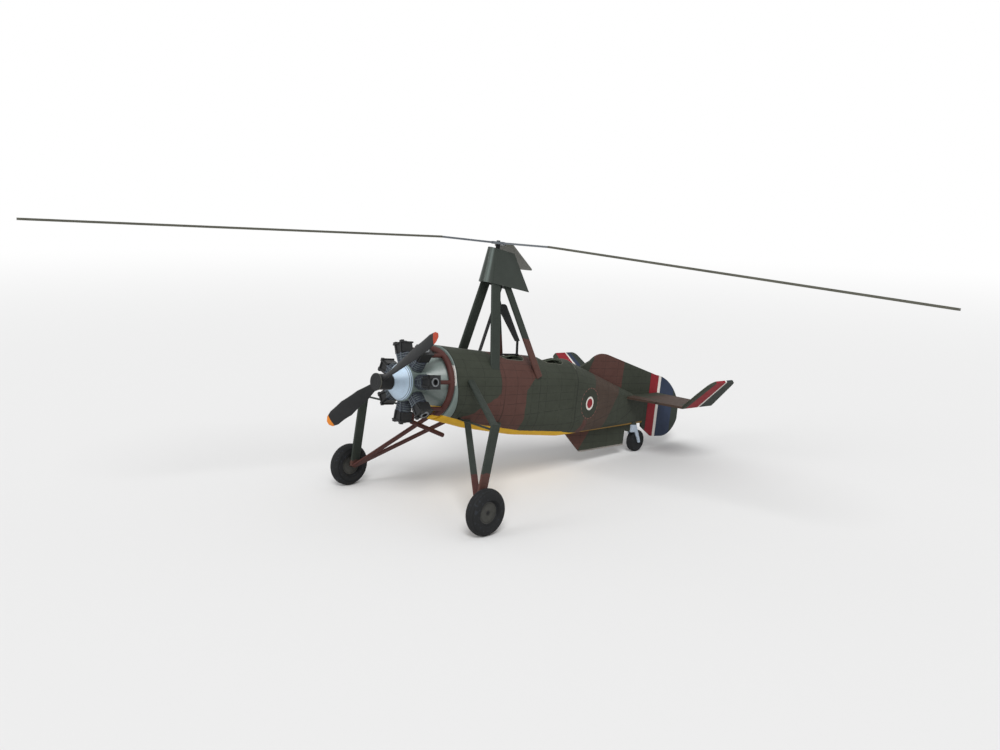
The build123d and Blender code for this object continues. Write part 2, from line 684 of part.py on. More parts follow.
# Tailplanes: a level panel, folded up at the knuckle into a rounded tip
pivot_x, pivot_z = TAILPLANE_PIVOT
incidence = radians(TAILPLANE_INCIDENCE)
tip_rise = radians(TAILPLANE_TIP_RISE)
panel_plane = Plane(
    origin=(pivot_x, 0, pivot_z),
    x_dir=(cos(incidence), 0, -sin(incidence)),
    z_dir=(sin(incidence), 0, cos(incidence)),
)
root_front, root_rear = TAILPLANE_ROOT_CHORD
knuckle_front, knuckle_rear = TAILPLANE_KNUCKLE_CHORD
tip_front, tip_rear = TAILPLANE_TIP_CHORD
for side_name, side in SIDES.items():
    knuckle_y = TAILPLANE_KNUCKLE * side
    tip_y = TAILPLANE_TIP_SPAN * side
    with BuildPart() as tailplane:
        with BuildSketch(panel_plane.offset(-TAILPLANE_THICKNESS / 2)):
            with BuildLine():
                Polyline(
                    (root_front, 0), (knuckle_front, knuckle_y),
                    (knuckle_rear, knuckle_y), (root_rear, 0), close=True,
                )
            make_face()
        extrude(amount=TAILPLANE_THICKNESS)
        tip_plane = Plane(
            origin=panel_plane.from_local_coords((0, knuckle_y, 0)),
            x_dir=panel_plane.x_dir,
            z_dir=panel_plane.z_dir * cos(tip_rise) - panel_plane.y_dir * (sin(tip_rise) * side),
        )
        bow = ((knuckle_front + tip_front) / 2 + TAILPLANE_LEADING_BOW, tip_y / 2)
        with BuildSketch(tip_plane.offset(-TAILPLANE_THICKNESS / 2)) as tip_outline:
            with BuildLine():
                ThreePointArc((knuckle_front, 0), bow, (tip_front, tip_y))
                Polyline((tip_front, tip_y), (tip_rear, tip_y), (knuckle_rear, 0), (knuckle_front, 0))
            make_face()
            outer_corners = tip_outline.vertices().filter_by(lambda corner: abs(corner.Y) > tip_y * side / 2)
            fillet(outer_corners, TAILPLANE_TIP_CORNER)
        extrude(amount=TAILPLANE_THICKNESS)
        add(round_rod(
            panel_plane.from_local_coords((knuckle_rear, knuckle_y, 0)),
            panel_plane.from_local_coords((knuckle_front, knuckle_y, 0)),
            TAILPLANE_THICKNESS / 2,
        ))
        add(fuselage_trim.part, mode=Mode.SUBTRACT)
        add(fin_trim, mode=Mode.SUBTRACT)
    park(tailplane, f"tailplane_{side_name}")

# Tail fork: two tapered cheeks and a bridge under the tail cone, with the axle
fork_x, fork_y, fork_z = TAIL_WHEEL
cheek_inner = TAIL_TYRE_WIDTH / 2 + FORK_GAP
cheek_outer = cheek_inner + FORK_SHEET
bridge_rear, bridge_front, bridge_low, bridge_high = FORK_BRIDGE
with BuildPart() as tail_fork:
    for cheek_start in (cheek_inner, -cheek_outer):
        with BuildSketch(Plane.XZ.offset(-cheek_start - FORK_SHEET)):
            with BuildLine():
                Polyline(
                    (fork_x - FORK_FOOT_HALF, fork_z),
                    (FORK_TOP_X - FORK_TOP_HALF, FORK_TOP_Z),
                    (FORK_TOP_X + FORK_TOP_HALF, FORK_TOP_Z),
                    (fork_x + FORK_FOOT_HALF, fork_z),
                )
                ThreePointArc(
                    (fork_x + FORK_FOOT_HALF, fork_z),
                    (fork_x, fork_z - FORK_FOOT_HALF),
                    (fork_x - FORK_FOOT_HALF, fork_z),
                )
            make_face()
        extrude(amount=FORK_SHEET)
    with BuildSketch(Plane.XY.offset(bridge_low)):
        with Locations(((bridge_rear + bridge_front) / 2, 0)):
            Rectangle(bridge_front - bridge_rear, 2 * cheek_outer)
    extrude(amount=bridge_high - bridge_low)
    add(round_rod((fork_x, -cheek_outer, fork_z), (fork_x, cheek_outer, fork_z), TAIL_AXLE_RADIUS))
    add(fuselage_trim.part, mode=Mode.SUBTRACT)
park(tail_fork, "tail_fork")

tail_plane = Plane(origin=TAIL_WHEEL, x_dir=(1, 0, 0), z_dir=(0, 1, 0))
with BuildPart() as tail_wheel:
    with BuildSketch(tail_plane.offset(-TAIL_TYRE_WIDTH / 2)):
        Circle(TAIL_WHEEL_RADIUS)
    extrude(amount=TAIL_TYRE_WIDTH)
    fillet(tail_wheel.edges().filter_by(GeomType.CIRCLE), TAIL_TYRE_ROUND)
    with BuildSketch(tail_plane.offset(-TAIL_TYRE_WIDTH / 2)):
        Circle(TAIL_AXLE_RADIUS + RUNNING_GAP)
    extrude(amount=TAIL_TYRE_WIDTH, mode=Mode.SUBTRACT)
park(tail_wheel, "tail_wheel")

# Propeller
with BuildPart() as propeller_boss:
    with BuildSketch(Plane(origin=(PROPELLER_BOSS[0], 0, 0), x_dir=(0, 1, 0), z_dir=(1, 0, 0))):
        Circle(PROPELLER_BOSS_RADIUS)
    extrude(amount=PROPELLER_BOSS[1] - PROPELLER_BOSS[0])
park(propeller_boss, "propeller_boss")
boss_trim = propeller_boss.part.moved(PARKED.inverse())

for number, heading in enumerate((PROPELLER_LIFT, PROPELLER_LIFT + 180), start=1):
    across = cos(radians(heading))
    up = sin(radians(heading))
    outward = Vector(0, across, up)
    turn = Vector(0, -up, across)
    with BuildPart() as propeller_blade:
        for reach, chord, thickness, pitch in PROPELLER_SECTIONS:
            chord_line = turn * cos(radians(pitch)) + Vector(1, 0, 0) * sin(radians(pitch))
            centre = Vector(PROPELLER_STATION, 0, 0) + outward * reach
            with BuildSketch(Plane(origin=centre, x_dir=chord_line, z_dir=outward)):
                Ellipse(chord / 2, thickness / 2)
        loft(ruled=True)
        add(boss_trim, mode=Mode.SUBTRACT)
    park(propeller_blade, f"propeller_blade_{number}")

# Rotor: a hub disc with three thin arms, and three drooping blades
with BuildPart() as rotor_hub:
    with BuildSketch(mast_plane.offset(-ROTOR_HUB_THICKNESS / 2)):
        Circle(ROTOR_HUB_RADIUS)
    extrude(amount=ROTOR_HUB_THICKNESS)
    with BuildSketch(mast_plane.offset(-ARM_THICKNESS / 2)):
        with PolarLocations(0, len(ROTOR_BLADES), start_angle=ROTOR_BLADES[0][0]):
            with Locations((BLADE_ROOT / 2, 0)):
                Rectangle(BLADE_ROOT, ARM_WIDTH)
    extrude(amount=ARM_THICKNESS)
    with BuildSketch(mast_plane.offset(-ROTOR_HUB_THICKNESS / 2)):
        Circle(SPINDLE_RADIUS + RUNNING_GAP)
    extrude(amount=ROTOR_HUB_THICKNESS, mode=Mode.SUBTRACT)
park(rotor_hub, "rotor_hub")
hub_trim = rotor_hub.part.moved(PARKED.inverse())

for number, (azimuth, blade_droop) in enumerate(ROTOR_BLADES, start=1):
    out = mast_plane.x_dir * cos(radians(azimuth)) + mast_plane.y_dir * sin(radians(azimuth))
    droop = radians(blade_droop)
    along = out * cos(droop) - mast_plane.z_dir * sin(droop)
    root = Vector(*HUB_CENTRE) + out * BLADE_ROOT
    face = mast_plane.z_dir * cos(droop) + out * sin(droop)
    length = (ROTOR_RADIUS - BLADE_ROOT) / cos(droop)
    with BuildPart() as rotor_blade:
        with BuildSketch(Plane(origin=root, x_dir=along, z_dir=face).offset(-BLADE_THICKNESS / 2)):
            with Locations((length / 2, 0)):
                RectangleRounded(length, BLADE_CHORD, BLADE_CORNER)
        extrude(amount=BLADE_THICKNESS)
        add(hub_trim, mode=Mode.SUBTRACT)
    park(rotor_blade, f"rotor_blade_{number}")


def parked_point(point):
    """Where a datum point is once the model stands on its wheels."""
    return (PARKED * Location(tuple(point))).position


print("parked pitch", round(PARKED_PITCH, 3))
print("rotor joint", parked_point(HUB_CENTRE))
print("rotor axis", parked_point(Vector(*HUB_CENTRE) + mast_plane.z_dir) - parked_point(HUB_CENTRE))
print("propeller joint", parked_point((PROPELLER_BOSS[1], 0, 0)))
print("thrust line", parked_point((1, 0, 0)) - parked_point((0, 0, 0)))
print("main wheel joint", parked_point(MAIN_WHEEL))
print("tail wheel joint", parked_point(TAIL_WHEEL))
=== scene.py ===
"""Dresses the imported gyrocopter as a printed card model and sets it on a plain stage.

Run it as a script in Blender. Lengths are millimetres on the airframe's own datum, with X
forward on the thrust line, Y port and Z up, unless a comment says otherwise.
"""
from math import cos, pi, radians, sin, tan

import bpy
from bpy.props import FloatProperty, FloatVectorProperty, IntProperty, PointerProperty
from mathutils import Matrix, Vector


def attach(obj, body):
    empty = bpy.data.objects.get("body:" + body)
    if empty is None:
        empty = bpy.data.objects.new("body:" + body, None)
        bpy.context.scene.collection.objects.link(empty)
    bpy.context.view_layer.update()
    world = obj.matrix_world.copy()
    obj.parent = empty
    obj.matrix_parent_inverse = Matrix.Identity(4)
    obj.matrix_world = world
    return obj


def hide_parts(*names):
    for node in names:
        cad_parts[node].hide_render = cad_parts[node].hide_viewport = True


bl_info = {
    "name": "Card gyrocopter dressing",
    "version": (1, 0, 0),
    "blender": (4, 5, 0),
    "location": "3D View > Sidebar > Gyrocopter",
    "description": "Printed card finishes, trim, engine fins and stage for a gyrocopter model",
    "category": "Object",
}

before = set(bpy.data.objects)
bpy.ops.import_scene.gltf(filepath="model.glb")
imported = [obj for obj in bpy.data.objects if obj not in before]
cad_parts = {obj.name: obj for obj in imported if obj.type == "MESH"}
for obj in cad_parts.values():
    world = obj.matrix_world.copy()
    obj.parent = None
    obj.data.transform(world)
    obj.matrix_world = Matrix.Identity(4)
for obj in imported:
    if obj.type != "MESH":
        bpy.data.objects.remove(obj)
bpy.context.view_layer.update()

MM = 0.001
# The parked attitude: nose-up pitch, and how far the datum stands above the floor
PITCH = radians(7.01)
WHEEL_CENTRE = (26.33, 28.1, -27.63)
WHEEL_RADIUS = 5.9
HUB_CENTRE = (4.69, 38.2)
LIFT = WHEEL_RADIUS - (WHEEL_CENTRE[0] * sin(PITCH) + WHEEL_CENTRE[2] * cos(PITCH))
SHIFT = HUB_CENTRE[0] * cos(PITCH) - HUB_CENTRE[1] * sin(PITCH)

# Fuselage sections. Columns: station X, half width, top Z, bottom Z, lower corner radius
NOSE_FRONT = (23.3, 9.40, 9.80, -9.25, 9.20)
NOSE_REAR = (5.0, 9.20, 8.55, -11.40, 7.50)
CABIN_REAR = (-27.0, 7.00, 7.15, -15.10, 5.00)
STERN = (-68.0, 0.60, -5.20, -12.90, 0.50)
HULL = (NOSE_FRONT, NOSE_REAR, CABIN_REAR, STERN)
# Belly line of the wrap that is glued under the fuselage, as X and Z, then its steps along and
# across, how far it stands off the drum, and how its upper edge tucks in
BELLY = ((23.3, -9.75), (12.0, -12.2), (-6.0, -14.55), (-24.0, -15.35), (-34.0, -14.7))
WRAP_STATIONS = 40
WRAP_STEPS = 16
WRAP_SKIN = 0.03
WRAP_LIP = 0.1
WRAP_TUCK = 0.6
# Cockpit openings. Columns: front X, rear X, half width
COCKPITS = ((3.2, -6.8, 4.6), (-13.6, -23.6, 4.3))
COCKPIT_CORNER = 2.6
COCKPIT_FLOOR = -6.0
CABIN_ENDS = (-26.5, 4.7)
CABIN_WALL = 0.25
CABIN_PLY = 0.2
CORNER_STEPS = 8
# The card edge over the tail joint, as degrees from port
HOOP_START = 42
HOOP_SWEEP = 96
HOOP_STEPS = 24
TRIM_SIDES = 8

# Engine: station, cylinder count and the first one's angle, where the head and the port's rim
# start, the rim's radii, and pitch and width of the barrel's printed lines
ENGINE_X = 31.2
CYLINDERS = 7
FIRST_ANGLE = 8.0
HEAD_BASE = 7.6
RIM_BASE = 10.35
RIM_RADII = (0.82, 1.2)
BARREL_LINES = (0.6, 0.18)
FIN_SIDES = 40

# Turned pieces on the thrust line, as station X and radius: the shaft with its washer between
# the crankcase and the boss, and the plate in front of the boss. Then the plate's paler rim, as
# two stations and a radius, and the radius where a blade's tip is painted
PROPELLER_SHAFT = (
    (36.7, 0.8), (37.18, 0.8), (37.18, 1.6), (37.37, 1.6), (37.37, 0.8), (37.8, 0.8),
)
PROPELLER_PLATE = (
    (41.3, 2.05), (41.38, 2.2), (41.72, 2.2), (41.8, 2.1), (41.8, 1.1), (41.74, 1.0),
)
PLATE_RIM = (41.36, 41.7)
PLATE_RIM_RADIUS = 2.12
TURNED_STEPS = 40
PROPELLER_TIP = 22.9
# The port lower brace, from inside the fuselage to the leg
LOWER_BRACE = ((17.9, 5.6, -8.8), (24.6, 26.0, -7.9))
BRACE_STEPS = 12

# Brown patch over the nose and the front cockpit: X of its front edge, X of the toe that runs
# forward below it, the toe's upper edge as X and Z, and the corners of the rear edge as X and Z
NOSE_PATCH_FRONT = 6.4
NOSE_PATCH_TOE = 17.5
NOSE_PATCH_TOE_EDGE = ((0.0, 2.2), (17.5, -8.23))
NOSE_PATCH_HEEL = (-4.1, -0.7)
NOSE_PATCH_SHOULDER = (-9.6, 4.0)
# Slanting brown band over the tail: its edges as Z and X, and X of its rear edge on the fin
TAIL_PATCH_FRONT = ((-14.0, -30.0), (-4.0, -35.0))
TAIL_PATCH_REAR = ((-18.0, -40.0), (-8.0, -47.2))
FIN_PATCH_REAR = -55.5
# Brown patches on the tailplanes: from and to which distance off the middle, how far forward
# at the middle and how much further for each millimetre out, and X of the root's patch
TAILPLANE_PATCH = (5.0, 19.0)
TAILPLANE_PATCH_FRONT = -64.0
TAILPLANE_PATCH_SLANT = 0.2
TAILPLANE_PATCH_ROOT = -61.0
# How strong the patches are printed on the tail cone and on the tailplanes
CONE_PATCH_INK = 0.5
TAILPLANE_PATCH_INK = 0.55

# Grey-green collar at the front: X of its rear edge, how that spreads below a height, width and
# ink of the joint behind it, and the glint's front and heights
COLLAR_REAR = 22.9
COLLAR_TOP = 2.0
COLLAR_SPREAD = 0.21
COLLAR_JOINT = 0.35
COLLAR_JOINT_INK = 1.3
GLINT_FRONT = 23.1
GLINT_HEIGHTS = (0.5, 5.5)
# Printed joints between the sections of the fuselage, as two stations each
CARD_JOINTS = ((4.8, 5.2), (-9.85, -9.6), (-27.2, -26.75))
# The yellow band: how its edge wanders, how much of the printed lines it covers, where it starts
# to thin out towards the tail and how fast, and how it goes on under the cone, cowl and ring
BAND_WAVE = (0.25, 2.0)
BAND_COVER = 0.8
BAND_TAPER_START = -23.0
BAND_TAPER = 0.09
CONE_BAND = 0.75
COWL_BAND = -5.6
RING_BAND = (-9.8, -8.1)
RING_BAND_RADIUS = 8.75
RING_BAND_FRONT = 26.0
# Printed lines along the fuselage: their radius, and Z of their middle on the tail cone
SKIN_RADIUS = 9.0
CONE_MIDDLE = -3.0

# Roundel on each side of the tail cone: centre as X and Z, distance off the middle, radii, tone of
# the olive behind it, and pitch and length of its dashes as angles
ROUNDEL = (-34.5, -5.25)
ROUNDEL_SIDE = 2.0
ROUNDEL_RED = 1.45
ROUNDEL_WHITE = 2.05
ROUNDEL_BACK = 4.4
ROUNDEL_DASHES = (4.45, 4.7)
ROUNDEL_CLEAR = 4.75
ROUNDEL_BACK_TONE = 0.86
DASH_TURNS = (pi / 10, pi / 17)
# Rudder: X where each stripe starts, the hinge line, and how far the fin's lines are shifted
RUDDER_STRIPES = ((-70.2, "red"), (-74.5, "white"), (-75.9, "blue"), (-83.5, "green"))
HINGE_LINE = (-70.2, -69.95)
LINE_SHIFT = 1.4
# Lower edge of the fin under the tail, as X and Z, and the width of the paler strip along it
KEEL = ((-39.0, -21.3), (-59.7, -19.9))
KEEL_EDGE = 0.45
# Tailplane: the pivot as X and Z, the knuckle where the tip turns up, its reach and rise, the
# tip's leading edge and chord with what each changes over the reach, and its stripes and the end
# of the blue as shares of the chord
TAILPLANE_PIVOT = (-57.5, -4.2)
KNUCKLE_Y = 22.2
TIP_REACH = 10.4
TIP_RISE = 42.0
INCIDENCE = 3.3
TIP_LEAD = -0.9
TIP_SWEEP = 0.4
TIP_CHORD = 15.2
TIP_TAPER = 3.7
TIP_STRIPES = (0.1, 0.5, 0.56)
TIP_BLUE_END = 0.72

# Struts: a height below the whole model, the stub axles' place, and the lines' pitch and width
NO_FOOT = -50.0
AXLE_Y = 26.2
AXLE_Z = -26.5
STRUT_LINES = (1.5, 0.12)
# Columns: finish, ink of the foot, height of the foot on the port and the starboard side, nodes
STRUT_PRINTS = (
    ("pylon_front_print", "earth", NO_FOOT, NO_FOOT, "pylon_front"),
    ("pylon_rear_print", "earth", 13.0, 13.0, "pylon_rear"),
    ("leg_print", "earth", -18.5, -26.0, "main_leg"),
    ("brace_print", "earth", NO_FOOT, NO_FOOT, "upper_brace"),
    ("rod_print", "exhaust", -20.5, 0.0, "radius_rods"),
)
# Lines on the crankcase nose, as two stations each
NOSE_LINES = ((33.9, 34.08), (34.3, 34.42))
# Front edge of the head fairing, as Z and X, and half the width of the painted highlight behind it
FAIRING_FRONT = ((36.9, 7.8), (27.5, 9.5))
HIGHLIGHT_HALF = 0.45
# Pale cheeks of the tail fork: distance off the middle, and top
CHEEK_Y = 1.15
CHEEK_TOP = -13.2
# Pitch and width of the blades' ribs, and of the shaded and the printed edges of a tyre's plies
RIBS = (4.8, 0.14)
PLY_SHADE = (0.6, 0.12)
PLY_LINES = (0.6, 0.06)
# Radii on a hub disc
DISC_RING = (2.3, 2.45)
DISC_CENTRE = 0.75

# Mixed inks that no setting changes
LINE_INK = (0.006, 0.006, 0.005)
SHADED_YELLOW = (0.26, 0.15, 0.03)
DASH_INK = (0.16, 0.07, 0.06)
KEEL_STRIP_INK = (0.24, 0.22, 0.2)
PORT_RIM_INK = (0.2, 0.21, 0.22)
# Card surface: grain of the fibre, the tone and the gloss, the darkest tone and what clouds and
# fibre add to it, the gloss's spread, the fibre's depth, and how strong the printed lines, the
# relief, the coat's blur and the plain shine are
FIBRE_GRAIN = 0.22
TONE_GRAIN = 2.6
GLOSS_GRAIN = 1.4
DARKEST_TONE = 0.63
CLOUD_TONE = 0.34
FIBRE_TONE = 0.4
GLOSS_SPREAD = 0.2
FIBRE_DEPTH = 0.012
LINE_STRENGTH = 0.48
LINE_RELIEF = 1.5
FIBRE_RELIEF = 0.6
COAT_BLUR = 0.22
CARD_SHINE = 0.2

# Camera: place in metres, turns in degrees, focal length and picture width in pixels, sensor
# width in millimetres, and the nearest and farthest it sees in metres
CAMERA_PLACE = (0.191224, 0.198451, 0.083181)
CAMERA_YAW = -134.1923
CAMERA_PITCH = -10.4704
CAMERA_ROLL = 1.2557
FOCAL_LENGTH = 1010.89
PICTURE_WIDTH = 1000
SENSOR_WIDTH = 36.0
CLIP_RANGE = (0.01, 50.0)
# Which way the lamps shine, and where the floor starts and ends to fade, in metres
LAMPS = (("key", (-0.55, -0.62, -0.85)), ("fill", (-0.9, 0.25, -0.35)))
FLOOR_FADE = (0.22, 1.1)


def parked(x, y, z):
    """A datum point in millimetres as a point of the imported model, in metres."""
    return Vector((
        (x * cos(PITCH) - z * sin(PITCH) - SHIFT) * MM,
        y * MM,
        (x * sin(PITCH) + z * cos(PITCH) + LIFT) * MM,
    ))


def linear(level):
    """One part of a screen colour, from 0 to 255, as the light it stands for."""
    level /= 255
    return level / 12.92 if level <= 0.04045 else ((level + 0.055) / 1.055) ** 2.4


def ink(name, description, *levels):
    """A colour setting, written as it looks on screen."""
    return FloatVectorProperty(
        name=name, description=description, subtype="COLOR", size=3, min=0.0, max=1.0,
        default=[linear(level) for level in levels],
    )


def size(name, description, millimetres):
    """A length setting, written in millimetres."""
    return FloatProperty(
        name=name, description=description, unit="LENGTH", min=0.0, precision=5,
        default=millimetres * MM,
    )


class CardColours(bpy.types.PropertyGroup):
    """The inks that the card is printed with."""

    olive: ink("Olive", "Dark olive of the upper surfaces", 53, 57, 48)
    earth: ink("Earth", "Red-brown camouflage patches", 79, 53, 47)
    green: ink("Strut green", "Dark green of the struts and the head fairing", 45, 51, 46)
    yellow: ink("Yellow", "Underside wrap", 205, 160, 34)
    red: ink("Red", "Stripes and the middle of the roundel", 132, 34, 42)
    white: ink("White", "Stripes, the roundel's ring and the glint", 214, 210, 204)
    edge: ink("Cut edge", "Cut edges of the card", 104, 105, 96)
    blue: ink("Blue", "Rudder and tailplane tips", 42, 52, 72)
    black: ink("Black", "Propeller, tyres, heads and column", 30, 31, 32)
    hub: ink("Hub disc", "Grey discs of the main wheels", 62, 62, 59)
    engine: ink("Engine", "Blue-black cylinders", 64, 69, 79)
    case: ink("Crankcase", "Pale blue-grey nose of the crankcase", 180, 200, 218)
    cowl: ink("Cowl", "Grey-green varnished cowl", 112, 124, 120)
    exhaust: ink("Exhaust", "Dark red-brown exhaust", 72, 42, 38)
    blade: ink("Blade", "Grey-olive rotor blades", 80, 80, 71)
    steel: ink("Steel", "Steel-grey rotor arms", 84, 89, 94)
    fork: ink("Fork", "Pale blue-grey tail fork", 170, 182, 196)
    cabin: ink("Cabin", "Inside of the cockpits", 86, 92, 80)
    seat: ink("Seat", "Brown card seats", 88, 64, 48)
    orange: ink("Orange", "Propeller tip", 158, 60, 40)
    amber: ink("Amber", "Other propeller tip", 204, 122, 40)


class CardSizes(bpy.types.PropertyGroup):
    """Sizes of the printed lines and of the pieces that are added."""

    panel_pitch: size("Panel pitch", "Distance between printed panel lines", 6.4)
    stringer_pitch: size("Stringer pitch", "Distance between printed stringer lines", 2.3)
    line_width: size("Line width", "Width of a printed line", 0.16)
    rim_radius: size("Rim radius", "Half the thickness of the cut card round a cockpit", 0.09)
    seam_radius: size("Seam radius", "Half the thickness of the cut card at the tail joint", 0.1)
    wrap_width: size("Wrap width", "Height of the yellow band over the belly line", 1.9)
    brace_radius: size("Brace radius", "Radius of the lower braces", 0.27)
    fin_radius: size("Fin radius", "Radius of the thin cylinder fins", 1.86)
    fin_thickness: size("Fin thickness", "Thickness of the thin cylinder fins", 0.12)
    fin_pitch: size("Fin pitch", "Distance between the thin cylinder fins", 0.6)
    fin_start: size("Fin start", "Height of the first thin fin above the thrust line", 5.07)
    fin_count: IntProperty(
        name="Fin count", description="Thin fins on each cylinder", default=4, min=1, max=12,
    )


class StageLook(bpy.types.PropertyGroup):
    """Lamps and floor."""

    key: FloatProperty(name="Key", description="Strength of the key lamp", default=1.9, min=0.0)
    fill: FloatProperty(name="Fill", description="Strength of the fill lamp", default=0.7, min=0.0)
    sky: FloatProperty(name="Sky", description="Strength of the even light", default=0.62, min=0.0)
    softness: FloatProperty(
        name="Softness", description="Angle of the lamps", subtype="ANGLE", default=radians(24),
    )
    floor: ink("Floor", "Pale floor", 226, 226, 226)
    reach: size("Floor reach", "Half the width of the floor", 6000)


class Wire:
    """A value or colour on its way through a node tree, with Python's own arithmetic."""

    def __init__(self, graph, socket):
        self.graph = graph
        self.socket = socket

    def output(self, name):
        """Another output of the same node."""
        return Wire(self.graph, self.socket.node.outputs[name])

    def math(self, operation, *values):
        """A Math node on these values."""
        return self.graph.add("ShaderNodeMath", {"operation": operation}, dict(enumerate(values)))

    def __add__(self, other):
        return self.math("ADD", self, other)

    def __sub__(self, other):
        return self.math("SUBTRACT", self, other)

    def __rsub__(self, other):
        return self.math("SUBTRACT", other, self)

    def __mul__(self, other):
        return self.math("MULTIPLY", self, other)

    def __truediv__(self, other):
        return self.math("DIVIDE", self, other)

    def __rtruediv__(self, other):
        return self.math("DIVIDE", other, self)

    def __pow__(self, other):
        return self.math("POWER", self, other)

    def __gt__(self, other):
        return self.math("GREATER_THAN", self, other)

    def __lt__(self, other):
        return self.math("LESS_THAN", self, other)

    def __or__(self, other):
        return self.math("MAXIMUM", self, other)

    def __abs__(self):
        return self.math("ABSOLUTE", self)

    def angle(self, across):
        """The angle of a place at this height and at that distance across, in radians."""
        return self.math("ARCTAN2", self, across)

    def ruled(self, pitch, width):
        """1 on lines of a width, at every multiple of the pitch."""
        return self.math("PINGPONG", self, pitch / 2) < width / 2

    def between(self, low, high):
        """1 where the value lies between two limits."""
        return (self > low) & (self < high)

    __radd__ = __add__
    __rmul__ = __mul__
    __and__ = __mul__


class Graph:
    """A node tree as it is built."""

    def __init__(self, tree):
        self.tree = tree

    def add(self, kind, settings=None, sockets=None):
        """Any node: its type, its settings, then the values or links of its sockets."""
        node = self.tree.nodes.new(kind)
        for setting, value in (settings or {}).items():
            setattr(node, setting, value)
        self.plug(node, sockets or {})
        return Wire(self, node.outputs[0]) if node.outputs else None

    def plug(self, node, sockets):
        """Links a node's sockets to wires, or sets their values."""
        for name, value in sockets.items():
            if isinstance(value, Wire):
                self.tree.links.new(value.socket, node.inputs[name])
            else:
                node.inputs[name].default_value = value


class Finish(Graph):
    """One material as it is built, with the datum's coordinates in millimetres."""

    def __init__(self, name):
        self.material = bpy.data.materials.new(name)
        self.material.use_nodes = True
        super().__init__(self.material.node_tree)
        self.shader = self.tree.nodes["Principled BSDF"]
        self.colours = bpy.context.scene.card_colours
        self.sizes = bpy.context.scene.card_sizes
        self.place = self.add("ShaderNodeMapping", {"vector_type": "POINT"}, {
            "Vector": self.add("ShaderNodeTexCoord").output("Object"),
            "Scale": (1 / MM, 1 / MM, 1 / MM),
            "Rotation": (0.0, PITCH, 0.0),
            "Location": (
                SHIFT * cos(PITCH) - LIFT * sin(PITCH), 0.0,
                -SHIFT * sin(PITCH) - LIFT * cos(PITCH),
            ),
        })
        parts = self.add("ShaderNodeSeparateXYZ", {}, {"Vector": self.place})
        self.x, self.y, self.z = (parts.output(axis) for axis in "XYZ")

    def mix(self, factor, under, over):
        """One colour laid over another where the factor is 1."""
        # A Mix node's sockets share their names, so the factor and both colours go by number
        under, over = (
            value if isinstance(value, Wire) else (*value, 1.0) for value in (under, over)
        )
        mixed = self.add("ShaderNodeMix", {"data_type": "RGBA"}, {0: factor, 6: under, 7: over})
        return mixed.output(2)

    def shade(self, colour, factor):
        """A colour made lighter or darker by a wire."""
        return self.add(
            "ShaderNodeVectorMath", {"operation": "SCALE"}, {"Vector": colour, "Scale": factor},
        )

    def cloud(self, grain, detail=2.0, stretch=None):
        """Smooth noise between 0 and 1, as large as the grain in millimetres."""
        place = self.place
        if stretch:
            place = self.add("ShaderNodeMapping", {}, {"Vector": place, "Scale": stretch})
        return self.add(
            "ShaderNodeTexNoise", {}, {"Vector": place, "Scale": 1 / grain, "Detail": detail},
        )

    def clouded(self, colour, darkest, palest, grain, stretch=None):
        """A colour in clouds between two tones."""
        clouds = self.cloud(grain, 3.0, stretch)
        return self.shade(colour, clouds * (palest - darkest) + darkest)

    def worn(self, grain, bare):
        """1 where the ink has stayed on, in spots as large as the grain."""
        return self.cloud(grain) > bare

    def wavy(self, value, reach=1.2, grain=3.5):
        """A coordinate that wanders a little, for the edge of a painted patch."""
        return value + (self.cloud(grain) - 0.5) * reach

    def printed_lines(self, along, around):
        """Printed panel and stringer lines, broken up as ink on card is."""
        width = self.sizes.line_width / MM
        panel = along.ruled(self.sizes.panel_pitch / MM, width)
        stringer = around.ruled(self.sizes.stringer_pitch / MM, width)
        worn = self.worn(grain=1.1, bare=0.42)
        return (panel | stringer * 0.8) & (worn * 0.7 + 0.3)

    def done(self, colour, roughness=0.72, lines=None, sheen=0.0, coat=0.0):
        """Ink on card: cloudy tone, fine specks, darker lines and a fibrous surface."""
        fibre = self.cloud(FIBRE_GRAIN, 4.0)
        clouds = self.cloud(TONE_GRAIN, 3.0)
        tone = clouds * CLOUD_TONE + fibre * FIBRE_TONE + DARKEST_TONE
        colour = self.shade(colour, tone)
        height = fibre
        if lines is not None:
            colour = self.mix(lines * LINE_STRENGTH, colour, LINE_INK)
            height = height - lines * LINE_RELIEF
        relief = {"Strength": FIBRE_RELIEF, "Distance": FIBRE_DEPTH * MM, "Height": height}
        self.plug(self.shader, {
            "Base Color": colour,
            "Roughness": (self.cloud(GLOSS_GRAIN) - 0.5) * GLOSS_SPREAD + roughness,
            "Normal": self.add("ShaderNodeBump", {}, relief),
            "Coat Weight": coat,
            "Coat Roughness": COAT_BLUR,
            "Specular IOR Level": CARD_SHINE + sheen,
        })
        return self.material


def dress(material, *nodes):
    """Gives a finish to CAD solids."""
    for node in nodes:
        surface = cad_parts[node].data
        surface.materials.clear()
        surface.materials.append(material)


def sides(name):
    """The names of a pair of nodes."""
    return f"{name}_port", f"{name}_starboard"


def slope(value, start, end):
    """The straight line through two points, each as place and amount, for a number or a wire."""
    rate = (end[1] - start[1]) / (end[0] - start[0])
    return (value - start[0]) * rate + start[1]


def distance(across, up):
    """How far a place is from an axis, for numbers or wires."""
    return (across * across + up * up) ** 0.5


def highest(first, *others):
    """The largest of a few wires."""
    for other in others:
        first = first | other
    return first


def belly_lines(x):
    """Heights of the straight stretches of the belly line, for a number or a wire."""
    return [slope(x, front, rear) for front, rear in zip(BELLY, BELLY[1:])]


